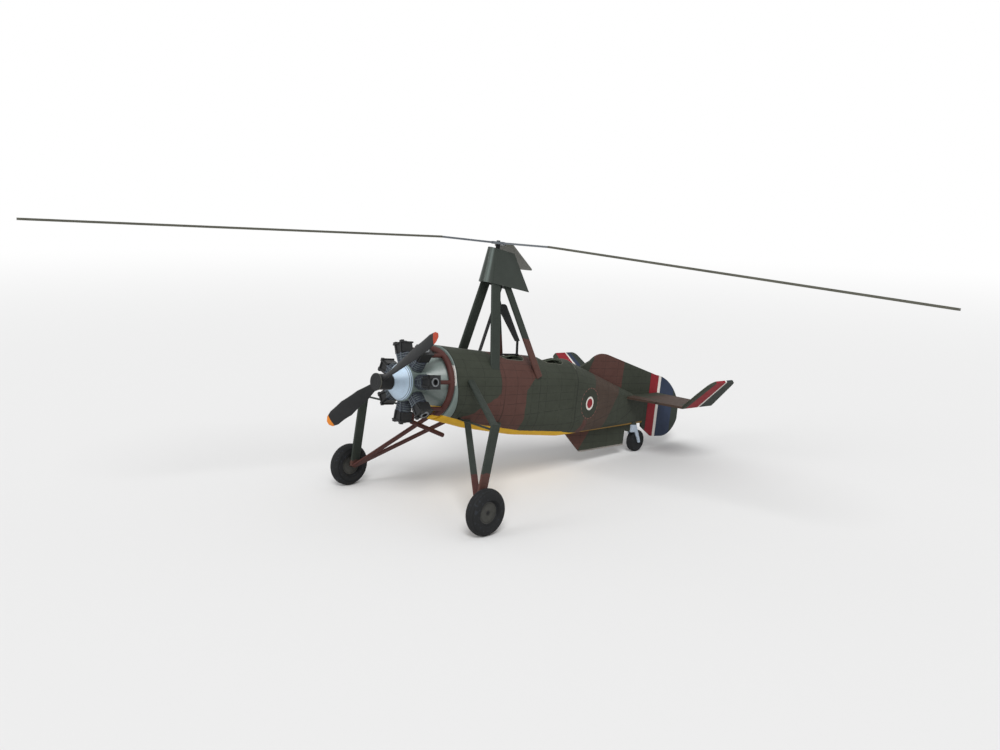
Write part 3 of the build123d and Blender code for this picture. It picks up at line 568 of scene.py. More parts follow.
def deck_height(x, y):
    """Height of the round deck over the cockpits, for numbers or wires."""
    width = slope(x, NOSE_REAR[:2], CABIN_REAR[:2])
    crown = slope(x, (NOSE_REAR[0], NOSE_REAR[2]), (CABIN_REAR[0], CABIN_REAR[2]))
    return crown - width + (width * width - y * y) ** 0.5


def camouflage(finish, patch):
    """Olive card with earth-brown patches."""
    return finish.mix(patch, finish.colours.olive, finish.colours.earth)


def body_patch(finish):
    """The brown patch over the nose and the front cockpit."""
    x, z = finish.wavy(finish.x), finish.wavy(finish.z)
    toe = (x < NOSE_PATCH_TOE) & (z < slope(x, *NOSE_PATCH_TOE_EDGE))
    above_slant = z > slope(x, NOSE_PATCH_HEEL, NOSE_PATCH_SHOULDER)
    shoulder = (x > NOSE_PATCH_SHOULDER[0]) & above_slant
    return ((x < NOSE_PATCH_FRONT) | toe) & ((x > NOSE_PATCH_HEEL[0]) | shoulder)


def tail_patch(finish, rear=None):
    """The slanting brown band over the tail cone and both fins."""
    x = finish.wavy(finish.x)
    rear = slope(finish.z, *TAIL_PATCH_REAR) if rear is None else rear
    return (x < slope(finish.z, *TAIL_PATCH_FRONT)) & (x > rear)


def skin_lines(finish, middle):
    """Lines round the fuselage and along it."""
    around = finish.y.angle(finish.z - middle) * SKIN_RADIUS
    return finish.printed_lines(finish.x, around)


def card_joints(finish):
    """The printed joints between the sections of the fuselage."""
    return highest(*(finish.x.between(*joint) for joint in CARD_JOINTS))


def collar_edge(finish):
    """Station of the collar's rear edge: it widens towards the belly."""
    return COLLAR_REAR - ((COLLAR_TOP - finish.z) | 0.0) * COLLAR_SPREAD


def collar(finish, colour):
    """The grey-green collar at the front, with a glint on its port edge."""
    lit = finish.z.between(*GLINT_HEIGHTS) & (finish.y > 0.0)
    glint = (finish.x > GLINT_FRONT) & lit
    pale = finish.mix(glint, finish.colours.cowl, finish.colours.white)
    return finish.mix(finish.x > collar_edge(finish), colour, pale)


def collar_joint(finish):
    """The printed joint behind the collar."""
    edge = collar_edge(finish)
    return finish.x.between(edge - COLLAR_JOINT, edge)


def print_nose():
    """Camouflaged drum with the collar round its front."""
    finish = Finish("nose_print")
    colour = collar(finish, camouflage(finish, body_patch(finish)))
    skin = skin_lines(finish, 0.0) & (finish.x < collar_edge(finish))
    return finish.done(colour, lines=skin | collar_joint(finish) * COLLAR_JOINT_INK)


def print_belly():
    """The wrap under the fuselage: camouflage above, yellow along the belly line."""
    finish = Finish("belly_print")
    colour = collar(finish, camouflage(finish, body_patch(finish) | tail_patch(finish)))
    line = highest(*belly_lines(finish.x))
    taper = 1.0 - ((BAND_TAPER_START - finish.x) | 0.0) * BAND_TAPER
    width = taper * (finish.sizes.wrap_width / MM)
    band = finish.wavy(finish.z, *BAND_WAVE) < line + width
    colour = finish.mix(band, colour, finish.colours.yellow)
    skin = skin_lines(finish, 0.0) & (finish.x < collar_edge(finish))
    lines = highest(skin, collar_joint(finish), card_joints(finish))
    return finish.done(colour, lines=lines & (1 - band * BAND_COVER))


def print_cabin():
    """Camouflaged card outside, plain card inside the cockpits."""
    finish = Finish("cabin_print")
    colour = camouflage(finish, body_patch(finish))
    wall = slope(finish.x, NOSE_REAR[:2], CABIN_REAR[:2]) - CABIN_WALL
    under_deck = finish.z < deck_height(finish.x, finish.y) - CABIN_PLY
    above_floor = finish.z > COCKPIT_FLOOR - CABIN_PLY
    inside = under_deck & above_floor & (abs(finish.y) < wall) & finish.x.between(*CABIN_ENDS)
    colour = finish.mix(inside, colour, finish.colours.cabin)
    lines = skin_lines(finish, 0.0) | card_joints(finish)
    return finish.done(colour, lines=lines & (1 - inside))


def print_tail_cone():
    """Camouflaged cone with a roundel on each side and a shaded yellow edge below."""
    finish = Finish("tail_cone_print")
    colour = camouflage(finish, tail_patch(finish) * CONE_PATCH_INK)
    bottom = slope(finish.x, (CABIN_REAR[0], CABIN_REAR[3]), (STERN[0], STERN[3]))
    band = finish.wavy(finish.z, *BAND_WAVE) < bottom + CONE_BAND
    colour = finish.mix(band, colour, SHADED_YELLOW)
    across, up = finish.x - ROUNDEL[0], finish.z - ROUNDEL[1]
    far = distance(across, up)
    side = abs(finish.y) > ROUNDEL_SIDE
    back = [part * ROUNDEL_BACK_TONE for part in finish.colours.olive]
    dash = up.angle(across).ruled(*DASH_TURNS) & far.between(*ROUNDEL_DASHES)
    for mask, tint in (
        (far < ROUNDEL_BACK, back), (dash, DASH_INK),
        (far < ROUNDEL_WHITE, finish.colours.white), (far < ROUNDEL_RED, finish.colours.red),
    ):
        colour = finish.mix(side & mask, colour, tint)
    skin = skin_lines(finish, CONE_MIDDLE) & (1 - side * (far < ROUNDEL_CLEAR))
    return finish.done(colour, lines=skin | card_joints(finish))


def print_fin():
    """Camouflaged fin and the striped rudder behind its hinge line."""
    finish = Finish("fin_print")
    colour = camouflage(finish, tail_patch(finish, FIN_PATCH_REAR))
    for start, tint in RUDDER_STRIPES:
        colour = finish.mix(finish.x < start, colour, getattr(finish.colours, tint))
    skin = finish.printed_lines(finish.x + LINE_SHIFT, finish.z) & (finish.x > HINGE_LINE[1])
    return finish.done(colour, lines=skin | finish.x.between(*HINGE_LINE))


def print_ventral_fin():
    """Camouflaged fin, paler along its lower edge."""
    finish = Finish("ventral_fin_print")
    colour = camouflage(finish, tail_patch(finish))
    # A paler strip is painted along the lower edge
    colour = finish.mix(finish.z < slope(finish.x, *KEEL) + KEEL_EDGE, colour, KEEL_STRIP_INK)
    return finish.done(colour, lines=finish.printed_lines(finish.x, finish.z))


def print_tailplane():
    """Camouflaged panel, and a striped tip that turns up at the knuckle."""
    finish = Finish("tailplane_print")
    out, x = abs(finish.y), finish.wavy(finish.x)
    behind = x < out * TAILPLANE_PATCH_SLANT + TAILPLANE_PATCH_FRONT
    patch = (out.between(*TAILPLANE_PATCH) & behind) | (x > TAILPLANE_PATCH_ROOT)
    colour = camouflage(finish, patch * TAILPLANE_PATCH_INK)
    reach = (out - KNUCKLE_Y) / TIP_REACH
    lead = reach * TIP_SWEEP + TAILPLANE_PIVOT[0] + TIP_LEAD
    share = (lead - finish.x) / (TIP_CHORD - reach * TIP_TAPER)
    tip = out > KNUCKLE_Y
    panel = (finish.x - TAILPLANE_PIVOT[0]) * -tan(radians(INCIDENCE)) + TAILPLANE_PIVOT[1]
    upper = finish.z > (out - KNUCKLE_Y) * tan(radians(TIP_RISE)) + panel
    blue = upper & (share < TIP_BLUE_END)
    last = finish.mix(blue, finish.colours.green, finish.colours.blue)
    colour = finish.mix(tip, colour, finish.colours.olive)
    for start, tint in zip(TIP_STRIPES, (finish.colours.red, finish.colours.white, last)):
        colour = finish.mix(tip & (share > start), colour, tint)
    return finish.done(colour, lines=finish.printed_lines(finish.y, finish.x) & (1 - tip))


def print_strut(name, foot_ink, port_foot, starboard_foot):
    """Dark green card with a foot in another ink below a height on each side, and black axles."""
    finish = Finish(name)
    limit = (finish.y > 0.0) * (port_foot - starboard_foot) + starboard_foot
    foot = finish.wavy(finish.z, reach=1.0, grain=2.0) < limit
    colour = finish.mix(foot, finish.colours.green, getattr(finish.colours, foot_ink))
    axle = (abs(finish.y) > AXLE_Y) & (finish.z < AXLE_Z)
    colour = finish.mix(axle, colour, finish.colours.black)
    lines = finish.z.ruled(*STRUT_LINES) & finish.worn(grain=0.9, bare=0.5)
    return finish.done(colour, roughness=0.62, lines=lines * 0.5)


def plain_card(name, ink_name, roughness=0.7, sheen=0.0):
    """One ink all over, cloudy as printing on card is."""
    finish = Finish(name)
    return finish.done(getattr(finish.colours, ink_name), roughness, sheen=sheen)


def print_cylinder(number):
    """Blue-black barrel with printed lines, black head and an open port with a pale rim."""
    angle = radians(FIRST_ANGLE + number * 360 / CYLINDERS)
    finish = Finish(f"cylinder_{number + 1}_print")
    height = finish.y * cos(angle) + finish.z * sin(angle)
    side = finish.z * cos(angle) - finish.y * sin(angle)
    off_axis = distance(side, finish.x - ENGINE_X)
    colour = finish.mix(height > HEAD_BASE, finish.colours.engine, finish.colours.black)
    rim = (height > RIM_BASE) & off_axis.between(*RIM_RADII)
    colour = finish.mix(rim, colour, PORT_RIM_INK)
    line = height.ruled(*BARREL_LINES) & (height < HEAD_BASE)
    pale = line & finish.worn(grain=0.5, bare=0.45)
    colour = finish.mix(pale * 0.5, colour, finish.colours.cowl)
    return finish.done(colour, roughness=0.5, sheen=0.1)


def print_crankcase_nose():
    """Pale blue-grey card, streaked along the thrust line, with two printed rings."""
    finish = Finish("crankcase_nose_print")
    colour = finish.clouded(finish.colours.case, 0.86, 1.12, grain=2.0, stretch=(0.4, 1.0, 1.0))
    lines = highest(*(finish.x.between(*line) for line in NOSE_LINES))
    return finish.done(colour, roughness=0.42, lines=lines * 1.5, sheen=0.15)


def print_cowl():
    """Varnished grey-green card, streaked along the thrust line, and yellow below."""
    finish = Finish("cowl_print")
    colour = finish.clouded(finish.colours.cowl, 0.78, 1.28, grain=1.6, stretch=(0.3, 1.0, 1.0))
    colour = finish.mix(finish.z < COWL_BAND, colour, finish.colours.yellow)
    return finish.done(colour, roughness=0.36, coat=0.6, sheen=0.15)


def print_exhaust():
    """Dark red-brown card; the yellow wrap reaches forward under the ring."""
    finish = Finish("exhaust_print")
    outer = distance(finish.y, finish.z) > RING_BAND_RADIUS
    under = finish.z.between(*RING_BAND) & outer & (finish.x < RING_BAND_FRONT)
    colour = finish.mix(under, finish.colours.exhaust, finish.colours.yellow)
    return finish.done(colour, roughness=0.6)


def print_fork():
    """Dark olive bridge and pale cheeks."""
    finish = Finish("fork_print")
    cheek = (abs(finish.y) > CHEEK_Y) & (finish.z < CHEEK_TOP)
    colour = finish.mix(cheek, finish.colours.olive, finish.colours.fork)
    return finish.done(colour, roughness=0.6)


def print_fairing():
    """Dark green card, with a painted highlight along its round front."""
    finish = Finish("fairing_print")
    behind = slope(finish.z, *FAIRING_FRONT) - finish.x
    # The pale band just behind the round front is a painted highlight, in the cowl's grey-green
    painted_highlight = (1 - abs(behind - HIGHLIGHT_HALF) / HIGHLIGHT_HALF) | 0.0
    colour = finish.mix(painted_highlight * 0.6, finish.colours.green, finish.colours.cowl)
    return finish.done(colour, roughness=0.5, coat=0.25)


def print_propeller(name, tip):
    """Black blade, streaked along its length, with a tip in another ink."""
    finish = Finish(name)
    colour = finish.clouded(finish.colours.black, 0.7, 1.3, grain=1.2, stretch=(1.0, 0.3, 0.3))
    colour = finish.mix(distance(finish.y, finish.z) > PROPELLER_TIP, colour, tip)
    return finish.done(colour, roughness=0.55)


def print_boss():
    """Black card, with a paler cut edge round the front plate."""
    finish = Finish("boss_print")
    outer = distance(finish.y, finish.z) > PLATE_RIM_RADIUS
    rim = finish.x.between(*PLATE_RIM) & outer
    colour = finish.mix(rim * 0.45, finish.colours.black, finish.colours.edge)
    return finish.done(colour, roughness=0.5)


def print_rotor_blade():
    """Cloudy grey-olive card with printed rib lines."""
    finish = Finish("rotor_blade_print")
    colour = finish.clouded(finish.colours.blade, 0.75, 1.25, grain=7.0)
    ribs = distance(finish.x, finish.y).ruled(*RIBS) & finish.worn(grain=1.5, bare=0.45)
    return finish.done(colour, roughness=0.66, lines=ribs * 0.6)


def print_tyre():
    """Matt black card plies, darker on their glued edges, with scuffs."""
    finish = Finish("tyre_print")
    colour = finish.shade(finish.colours.black, 1 - finish.y.ruled(*PLY_SHADE) * 0.35)
    scuff = finish.cloud(0.7, detail=4.0) > 0.62
    colour = finish.mix(scuff * 0.25, colour, finish.colours.engine)
    return finish.done(colour, roughness=0.8, lines=finish.y.ruled(*PLY_LINES) * 0.6)


def print_hub_disc():
    """Grey disc with a printed ring and a dark centre."""
    finish = Finish("hub_disc_print")
    far = distance(finish.x - WHEEL_CENTRE[0], finish.z - WHEEL_CENTRE[2])
    colour = finish.clouded(finish.colours.hub, 0.75, 1.25, grain=0.8)
    lines = far.between(*DISC_RING) | (far < DISC_CENTRE) * 0.7
    return finish.done(colour, roughness=0.6, lines=lines)


class Growth(Graph):
    """A Geometry Nodes tree as it is built, with each named input as an attribute."""

    def __init__(self, name, **inputs):
        super().__init__(bpy.data.node_groups.new(name, "GeometryNodeTree"))
        face = self.tree.interface
        self.identifiers = {}
        for key, kind in inputs.items():
            label = key.replace("_", " ").capitalize()
            socket = face.new_socket(label, in_out="INPUT", socket_type=f"NodeSocket{kind}")
            self.identifiers[key] = socket.identifier
        face.new_socket("Piece", in_out="OUTPUT", socket_type="NodeSocketGeometry")
        given = self.add("NodeGroupInput")
        for position, key in enumerate(inputs):
            setattr(self, key, given.output(position))

    def close(self, shape):
        """Makes the shape real, gives it its card and ends the tree."""
        real = self.add("GeometryNodeRealizeInstances", {}, {"Geometry": shape})
        dressed = {"Geometry": real, "Material": self.card}
        piece = self.add("GeometryNodeSetMaterial", {}, dressed)
        self.add("NodeGroupOutput", {}, {"Piece": piece})
        return self


def trim_growth():
    """A round trim along every edge path it is given."""
    growth = Growth("card_trim", path="Geometry", radius="Float", card="Material")
    path = growth.add("GeometryNodeMeshToCurve", {}, {"Mesh": growth.path})
    outline = growth.add("GeometryNodeCurvePrimitiveCircle", {}, {
        "Resolution": TRIM_SIDES, "Radius": growth.radius,
    })
    return growth.close(growth.add("GeometryNodeCurveToMesh", {}, {
        "Curve": path, "Profile Curve": outline, "Fill Caps": True,
    }))


def fin_growth():
    """Stacks of thin round fins, one stack for each cylinder round the crankcase."""
    # The modifier hands over its own mesh first, which this tree leaves out
    growth = Growth(
        "thin_fins", carrier="Geometry", radius="Float", thickness="Float", pitch="Float",
        start="Float", count="Int", cylinders="Int", first_angle="Float", card="Material",
    )
    fin = growth.add("GeometryNodeMeshCylinder", {}, {
        "Vertices": FIN_SIDES, "Radius": growth.radius, "Depth": growth.thickness,
    })
    row = growth.add("GeometryNodeMeshLine", {}, {
        "Count": growth.count,
        "Start Location": growth.add("ShaderNodeCombineXYZ", {}, {"Z": growth.start}),
        "Offset": growth.add("ShaderNodeCombineXYZ", {}, {"Z": growth.pitch}),
    })
    stack = growth.add("GeometryNodeInstanceOnPoints", {}, {"Points": row, "Instance": fin})
    hub = growth.add("GeometryNodeMeshLine", {}, {
        "Count": growth.cylinders, "Offset": (0.0, 0.0, 0.0),
    })
    turn = growth.add("GeometryNodeInputIndex") * (2 * pi / growth.cylinders) + growth.first_angle
    return growth.close(growth.add("GeometryNodeInstanceOnPoints", {}, {
        "Points": hub, "Instance": stack,
        "Rotation": growth.add("ShaderNodeCombineXYZ", {}, {"X": turn}),
    }))


def linked(name, mesh):
    """A new object in the scene."""
    piece = bpy.data.objects.new(name, mesh)
    bpy.context.scene.collection.objects.link(piece)
    return piece


def grown(name, growth, values, points=((0, 0, 0),), edges=()):
    """Runs a growth on a few points and edges, and keeps the result as a plain mesh."""
    carrier_mesh = bpy.data.meshes.new(f"{name}_carrier")
    carrier_mesh.from_pydata(points, edges, [])
    carrier = linked(f"{name}_carrier", carrier_mesh)
    modifier = carrier.modifiers.new("growth", "NODES")
    modifier.node_group = growth.tree
    for key, value in values.items():
        modifier[growth.identifiers[key]] = value
    evaluated = carrier.evaluated_get(bpy.context.evaluated_depsgraph_get())
    mesh = bpy.data.meshes.new_from_object(evaluated)
    carrier.modifiers.remove(modifier)
    bpy.data.objects.remove(carrier)
    if not mesh.polygons:
        raise RuntimeError(f"{name} came out empty")
    mesh.name = name
    return linked(name, mesh)


def cut_edges(name, growth, radius, card, paths, closed=False):
    """The cut edge of the card, as a round trim along a few paths."""
    points, edges = [], []
    for path in paths:
        first, count = len(points), len(path)
        points += path
        steps = range(count if closed else count - 1)
        edges += [(first + step, first + (step + 1) % count) for step in steps]
    return grown(name, growth, {"radius": radius, "card": card}, points, edges)


def lofted(name, rings, card, smooth=False):
    """A closed piece through rings that all have the same number of points."""
    count = len(rings[0])
    last = count * (len(rings) - 1)
    faces = [
        (first + at, first + after, first + after + count, first + at + count)
        for first in range(0, last, count)
        for at, after in ((step, (step + 1) % count) for step in range(count))
    ]
    faces += [tuple(range(count))[::-1], tuple(range(last, last + count))]
    mesh = bpy.data.meshes.new(name)
    mesh.from_pydata([point for ring in rings for point in ring], [], faces)
    mesh.materials.append(card)
    for face in mesh.polygons:
        face.use_smooth = smooth and len(face.vertices) == 4
    mesh.update()
    return linked(name, mesh)


def turns(steps):
    """Evenly spread angles round a circle."""
    return [2 * pi * step / steps for step in range(steps)]


def opening_loop(front, rear, half_width):
    """Points round a cockpit opening, on the deck."""
    points = []
    for corner_x, corner_y, first in (
        (front - COCKPIT_CORNER, half_width - COCKPIT_CORNER, 0),
        (rear + COCKPIT_CORNER, half_width - COCKPIT_CORNER, 90),
        (rear + COCKPIT_CORNER, COCKPIT_CORNER - half_width, 180),
        (front - COCKPIT_CORNER, COCKPIT_CORNER - half_width, 270),
    ):
        for step in range(CORNER_STEPS + 1):
            angle = radians(first + 90 * step / CORNER_STEPS)
            x = corner_x + COCKPIT_CORNER * cos(angle)
            y = corner_y + COCKPIT_CORNER * sin(angle)
            points.append(parked(x, y, deck_height(x, y)))
    return points


def deck_hoop(station, half_width, top):
    """Points over the top of the deck, from the port side to starboard."""
    points = []
    for step in range(HOOP_STEPS + 1):
        angle = radians(HOOP_START + HOOP_SWEEP * step / HOOP_STEPS)
        height = top - half_width + half_width * sin(angle)
        points.append(parked(station, half_width * cos(angle), height))
    return points


def hull_row(x):
    """Half width, top, bottom and lower corner radius of the fuselage at a station."""
    pairs = tuple(zip(HULL, HULL[1:]))
    front, rear = next((pair for pair in pairs if x >= pair[1][0]), pairs[-1])
    share = (x - front[0]) / (rear[0] - front[0])
    return [one + share * (other - one) for one, other in zip(front[1:], rear[1:])]


def belly_section(x):
    """Points of the wrap at a station, from the port side under the belly to starboard."""
    width, _, bottom, corner = hull_row(x)
    low = min(max(belly_lines(x)), bottom)
    radius = min(corner + (bottom - low) / 2, width)
    width += WRAP_SKIN
    top = bottom + corner
    side = [(width - WRAP_LIP, top + WRAP_TUCK), (width, top + WRAP_SKIN)]
    for step in range(WRAP_STEPS + 1):
        angle = pi / 2 * step / WRAP_STEPS
        side.append((width - radius + radius * cos(angle), low + radius - radius * sin(angle)))
    both = side + [(-y, z) for y, z in reversed(side)]
    return [parked(x, y, z) for y, z in both]


def belly_skin(card):
    """The card wrap that is glued under the fuselage, from the ring to the tail cone."""
    front, rear = BELLY[0][0], BELLY[-1][0]
    rings = [
        belly_section(front + (rear - front) * station / WRAP_STATIONS)
        for station in range(WRAP_STATIONS + 1)
    ]
    return lofted("belly_wrap", rings, card, smooth=True)


def turned_piece(name, outline, card):
    """A closed round piece on the thrust line, from its outline."""
    rings = [
        [parked(x, radius * cos(turn), radius * sin(turn)) for turn in turns(TURNED_STEPS)]
        for x, radius in outline
    ]
    return lofted(name, rings, card)


def round_rod(name, start, end, radius, card):
    """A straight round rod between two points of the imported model."""
    along = (end - start).normalized()
    level = along.cross(Vector((0, 0, 1))).normalized()
    upright = along.cross(level)
    outward = [level * cos(turn) + upright * sin(turn) for turn in turns(BRACE_STEPS)]
    rings = [[middle + way * radius for way in outward] for middle in (start, end)]
    return lofted(name, rings, card, smooth=True)


class GYRO_OT_fuselage(bpy.types.Operator):
    """Prints the nose, the cockpit section, the tail cone and the seats"""

    bl_idname = "gyro.fuselage"
    bl_label = "Fuselage"

    def execute(self, context):
        dress(print_nose(), "nose_section")
        dress(print_cabin(), "cockpit_section")
        dress(print_tail_cone(), "tail_cone")
        dress(plain_card("seat_print", "seat"), "seat_front", "seat_rear")
        return {"FINISHED"}


class GYRO_OT_tail(bpy.types.Operator):
    """Prints the fins, the tailplanes and the tail fork"""

    bl_idname = "gyro.tail"
    bl_label = "Tail"

    def execute(self, context):
        dress(print_fin(), "fin")
        dress(print_ventral_fin(), "ventral_fin")
        dress(print_tailplane(), *sides("tailplane"))
        dress(print_fork(), "tail_fork")
        return {"FINISHED"}


class GYRO_OT_engine(bpy.types.Operator):
    """Prints the cylinders and the crankcase, and adds the thin fins"""

    bl_idname = "gyro.engine"
    bl_label = "Engine"

    def execute(self, context):
        sizes = context.scene.card_sizes
        for number in range(CYLINDERS):
            dress(print_cylinder(number), f"cylinder_{number + 1}")
        dress(plain_card("crankcase_print", "cowl", 0.5), "crankcase")
        dress(print_crankcase_nose(), "crankcase_nose")
        fins = grown("thin_fins", fin_growth(), {
            "radius": sizes.fin_radius,
            "thickness": sizes.fin_thickness,
            "pitch": sizes.fin_pitch,
            "start": sizes.fin_start + sizes.fin_thickness / 2,
            "count": sizes.fin_count,
            "cylinders": CYLINDERS,
            "first_angle": radians(FIRST_ANGLE - 90),
            "card": plain_card("thin_fin_print", "engine", 0.5),
        })
        origin = parked(ENGINE_X, 0, 0)
        fins.data.transform(Matrix.Translation(origin) @ Matrix.Rotation(-PITCH, 4, "Y"))
        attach(fins, "airframe")
        return {"FINISHED"}


class GYRO_OT_exhaust(bpy.types.Operator):
    """Prints the cowl cone, the collector ring and the tail pipe"""

    bl_idname = "gyro.exhaust"
    bl_label = "Cowl and exhaust"

    def execute(self, context):
        dress(print_cowl(), "cowl_cone")
        dress(print_exhaust(), "exhaust_ring", "exhaust_pipe")
        return {"FINISHED"}


class GYRO_OT_propeller(bpy.types.Operator):
    """Prints the propeller, and adds its shaft and front plate"""

    bl_idname = "gyro.propeller"
    bl_label = "Propeller"

    def execute(self, context):
        colours = context.scene.card_colours
        dress(print_propeller("propeller_high_print", colours.orange), "propeller_blade_1")
        dress(print_propeller("propeller_low_print", colours.amber), "propeller_blade_2")
        card = print_boss()
        dress(card, "propeller_boss")
        shaft = turned_piece("propeller_shaft", PROPELLER_SHAFT, card)
        plate = turned_piece("propeller_plate", PROPELLER_PLATE, card)
        for piece in (shaft, plate):
            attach(piece, "propeller")
        return {"FINISHED"}


class GYRO_OT_rotor(bpy.types.Operator):
    """Prints the rotor, its hub, the head under it, and the shaft and column below"""

    bl_idname = "gyro.rotor"
    bl_label = "Rotor and head"

    def execute(self, context):
        dress(print_rotor_blade(), *(f"rotor_blade_{number}" for number in (1, 2, 3)))
        dress(plain_card("rotor_arm_print", "steel", 0.45, sheen=0.2), "rotor_hub")
        dress(print_fairing(), "head_fairing")
        black = plain_card("column_print", "black", 0.5)
        dress(black, "head_block", "starter_shaft", "control_column")
        return {"FINISHED"}


class GYRO_OT_struts(bpy.types.Operator):
    """Prints the pylon legs and the undercarriage struts, and makes the thin lower braces"""

    bl_idname = "gyro.struts"
    bl_label = "Struts"

    def execute(self, context):
        cards = {}
        for name, foot_ink, port_foot, starboard_foot, node in STRUT_PRINTS:
            cards[name] = print_strut(name, foot_ink, port_foot, starboard_foot)
            dress(cards[name], *sides(node))
        radius = context.scene.card_sizes.brace_radius
        for side, sign in (("port", 1), ("starboard", -1)):
            start, end = (parked(x, sign * y, z) for x, y, z in LOWER_BRACE)
            rod = round_rod(f"lower_brace_rod_{side}", start, end, radius, cards["brace_print"])
            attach(rod, "airframe")
            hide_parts(f"lower_brace_{side}")
        return {"FINISHED"}


class GYRO_OT_wheels(bpy.types.Operator):
    """Prints the tyres, the tail wheel and the hub discs"""

    bl_idname = "gyro.wheels"
    bl_label = "Wheels"

    def execute(self, context):
        dress(print_tyre(), *sides("tyre"), "tail_wheel")
        dress(print_hub_disc(), *sides("wheel_disc"))
        return {"FINISHED"}


class GYRO_OT_trim(bpy.types.Operator):
    """Adds the belly wrap and the cut card edges round the cockpits and over the tail joint"""

    bl_idname = "gyro.trim"
    bl_label = "Belly wrap and card edges"

    def execute(self, context):
        sizes = context.scene.card_sizes
        growth = trim_growth()
        card = plain_card("cut_card_print", "edge", 0.8)
        loops = [opening_loop(*row) for row in COCKPITS]
        rims = cut_edges("cockpit_rims", growth, sizes.rim_radius, card, loops, closed=True)
        hoop = deck_hoop(*CABIN_REAR[:3])
        seam = cut_edges("tail_joint_edge", growth, sizes.seam_radius, card, [hoop])
        for piece in (rims, seam, belly_skin(print_belly())):
            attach(piece, "airframe")
        return {"FINISHED"}


class GYRO_OT_stage(bpy.types.Operator):
    """Sets up the floor, the lamps and the camera"""

    bl_idname = "gyro.stage"
    bl_label = "Stage"

    def execute(self, context):
        scene = context.scene
        look = scene.stage_look
        scene.view_settings.view_transform = "Standard"
        scene.world = studio_world(look)
        reach = look.reach
        mesh = bpy.data.meshes.new("floor")
        mesh.from_pydata(
            [(-reach, -reach, 0), (reach, -reach, 0), (reach, reach, 0), (-reach, reach, 0)],
            [], [(0, 1, 2, 3)],
        )
        mesh.materials.append(floor_material(look))
        linked("floor", mesh)
        for name, aim in LAMPS:
            lamp = bpy.data.lights.new(name, "SUN")
            lamp.energy = getattr(look, name)
            lamp.angle = look.softness
            linked(name, lamp).rotation_euler = Vector(aim).to_track_quat("-Z", "Y").to_euler()
        place_camera(scene)
        return {"FINISHED"}


def seen_rays(graph):
    """1 for rays that come straight, by a reflection or through glass from the camera."""
    rays = graph.add("ShaderNodeLightPath")
    names = ("Is Camera Ray", "Is Glossy Ray", "Is Transmission Ray")
    return highest(*(rays.output(name) for name in names))


def studio_world(look):
    """Even light, and plain white where the camera sees past the floor."""
    world = bpy.data.worlds.new("studio")
    world.use_nodes = True
    graph = Graph(world.node_tree)
    graph.tree.nodes.clear()
    strength = graph.add("ShaderNodeMix", {}, {0: seen_rays(graph), 2: look.sky, 3: 1.0})
    glow = graph.add(
        "ShaderNodeBackground", {}, {"Color": (1.0, 1.0, 1.0, 1.0), "Strength": strength},
    )
    graph.add("ShaderNodeOutputWorld", {}, {"Surface": glow})
    return world


def floor_material(look):
    """A pale floor that keeps the shadow near the model and fades to white far off."""
    material = bpy.data.materials.new("floor")
    material.use_nodes = True
    graph = Graph(material.node_tree)
    graph.tree.nodes.clear()
    place = graph.add("ShaderNodeTexCoord").output("Object")
    far = graph.add("ShaderNodeVectorMath", {"operation": "LENGTH"}, {"Vector": place})
    start, end = FLOOR_FADE
    fade = graph.add("ShaderNodeMapRange", {"interpolation_type": "SMOOTHSTEP"}, {
        "Value": far.output("Value"), "From Min": start, "From Max": end,
    })
    mixed = graph.add("ShaderNodeMixShader", {}, {
        0: fade & seen_rays(graph),
        1: graph.add("ShaderNodeBsdfDiffuse", {}, {"Color": (*look.floor, 1.0)}),
        2: graph.add("ShaderNodeEmission"),
    })
    graph.add("ShaderNodeOutputMaterial", {}, {"Surface": mixed})
    return material


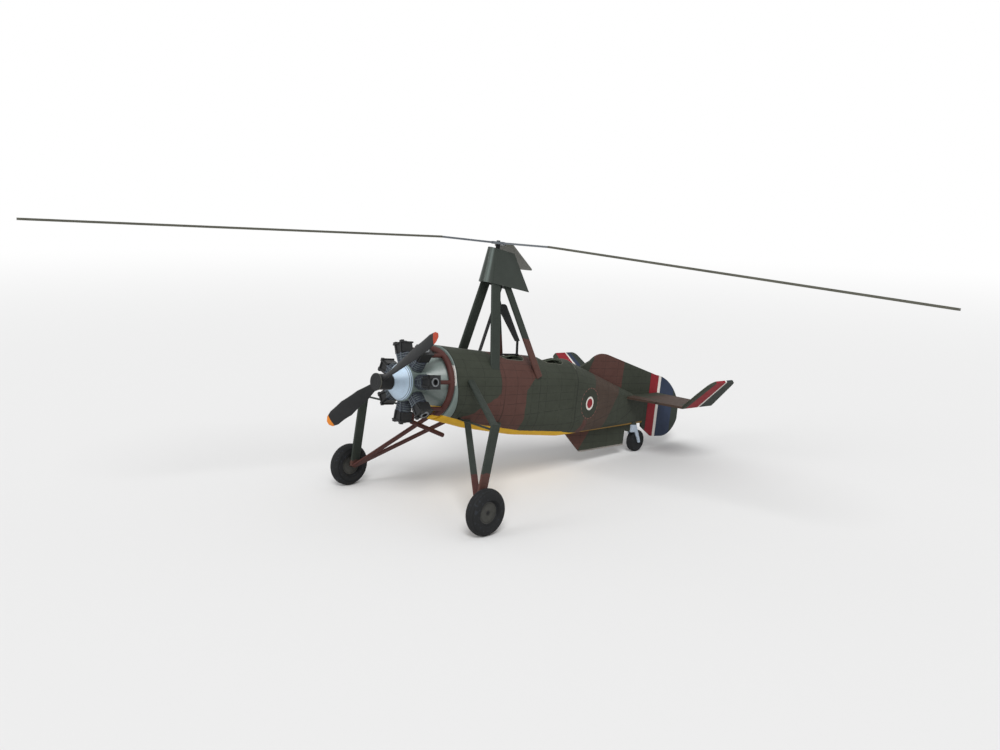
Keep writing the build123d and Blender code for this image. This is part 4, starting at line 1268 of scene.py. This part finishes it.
def place_camera(scene):
    """The camera at the angle from which the model is shown."""
    yaw, pitch, roll = radians(CAMERA_YAW), radians(CAMERA_PITCH), radians(CAMERA_ROLL)
    ahead = Vector((cos(yaw) * cos(pitch), sin(yaw) * cos(pitch), sin(pitch)))
    right = ahead.cross(Vector((0, 0, 1))).normalized()
    up = right.cross(ahead)
    turned_right = right * cos(roll) + up * sin(roll)
    turned_up = up * cos(roll) - right * sin(roll)
    lens = bpy.data.cameras.new("camera")
    lens.sensor_width = SENSOR_WIDTH
    lens.lens = FOCAL_LENGTH * SENSOR_WIDTH / PICTURE_WIDTH
    lens.clip_start, lens.clip_end = CLIP_RANGE
    turn = Matrix((turned_right, turned_up, -ahead)).transposed().to_4x4()
    scene.camera = linked("camera", lens)
    scene.camera.matrix_world = Matrix.Translation(CAMERA_PLACE) @ turn


OPERATORS = (
    GYRO_OT_fuselage, GYRO_OT_tail, GYRO_OT_engine, GYRO_OT_exhaust, GYRO_OT_propeller,
    GYRO_OT_rotor, GYRO_OT_struts, GYRO_OT_wheels, GYRO_OT_trim, GYRO_OT_stage,
)
GROUPS = {"card_colours": CardColours, "card_sizes": CardSizes, "stage_look": StageLook}


class GYRO_PT_panel(bpy.types.Panel):
    """Lists the dressing steps and their settings"""

    bl_idname = "GYRO_PT_panel"
    bl_label = "Gyrocopter"
    bl_space_type = "VIEW_3D"
    bl_region_type = "UI"
    bl_category = "Gyrocopter"

    def draw(self, context):
        for operator in OPERATORS:
            self.layout.operator(operator.bl_idname)
        for group_name in GROUPS:
            group = getattr(context.scene, group_name)
            box = self.layout.box()
            for name in group.bl_rna.properties.keys():
                if name not in ("rna_type", "name"):
                    box.prop(group, name)


def register():
    for item in (*GROUPS.values(), *OPERATORS, GYRO_PT_panel):
        bpy.utils.register_class(item)
    for name, group in GROUPS.items():
        setattr(bpy.types.Scene, name, PointerProperty(type=group))


def unregister():
    for name in GROUPS:
        delattr(bpy.types.Scene, name)
    for item in (GYRO_PT_panel, *reversed(OPERATORS), *reversed(tuple(GROUPS.values()))):
        bpy.utils.unregister_class(item)


def main():
    register()
    for operator in OPERATORS:
        group, name = operator.bl_idname.split(".")
        getattr(getattr(bpy.ops, group), name)()


if __name__ == "__main__":
    main()
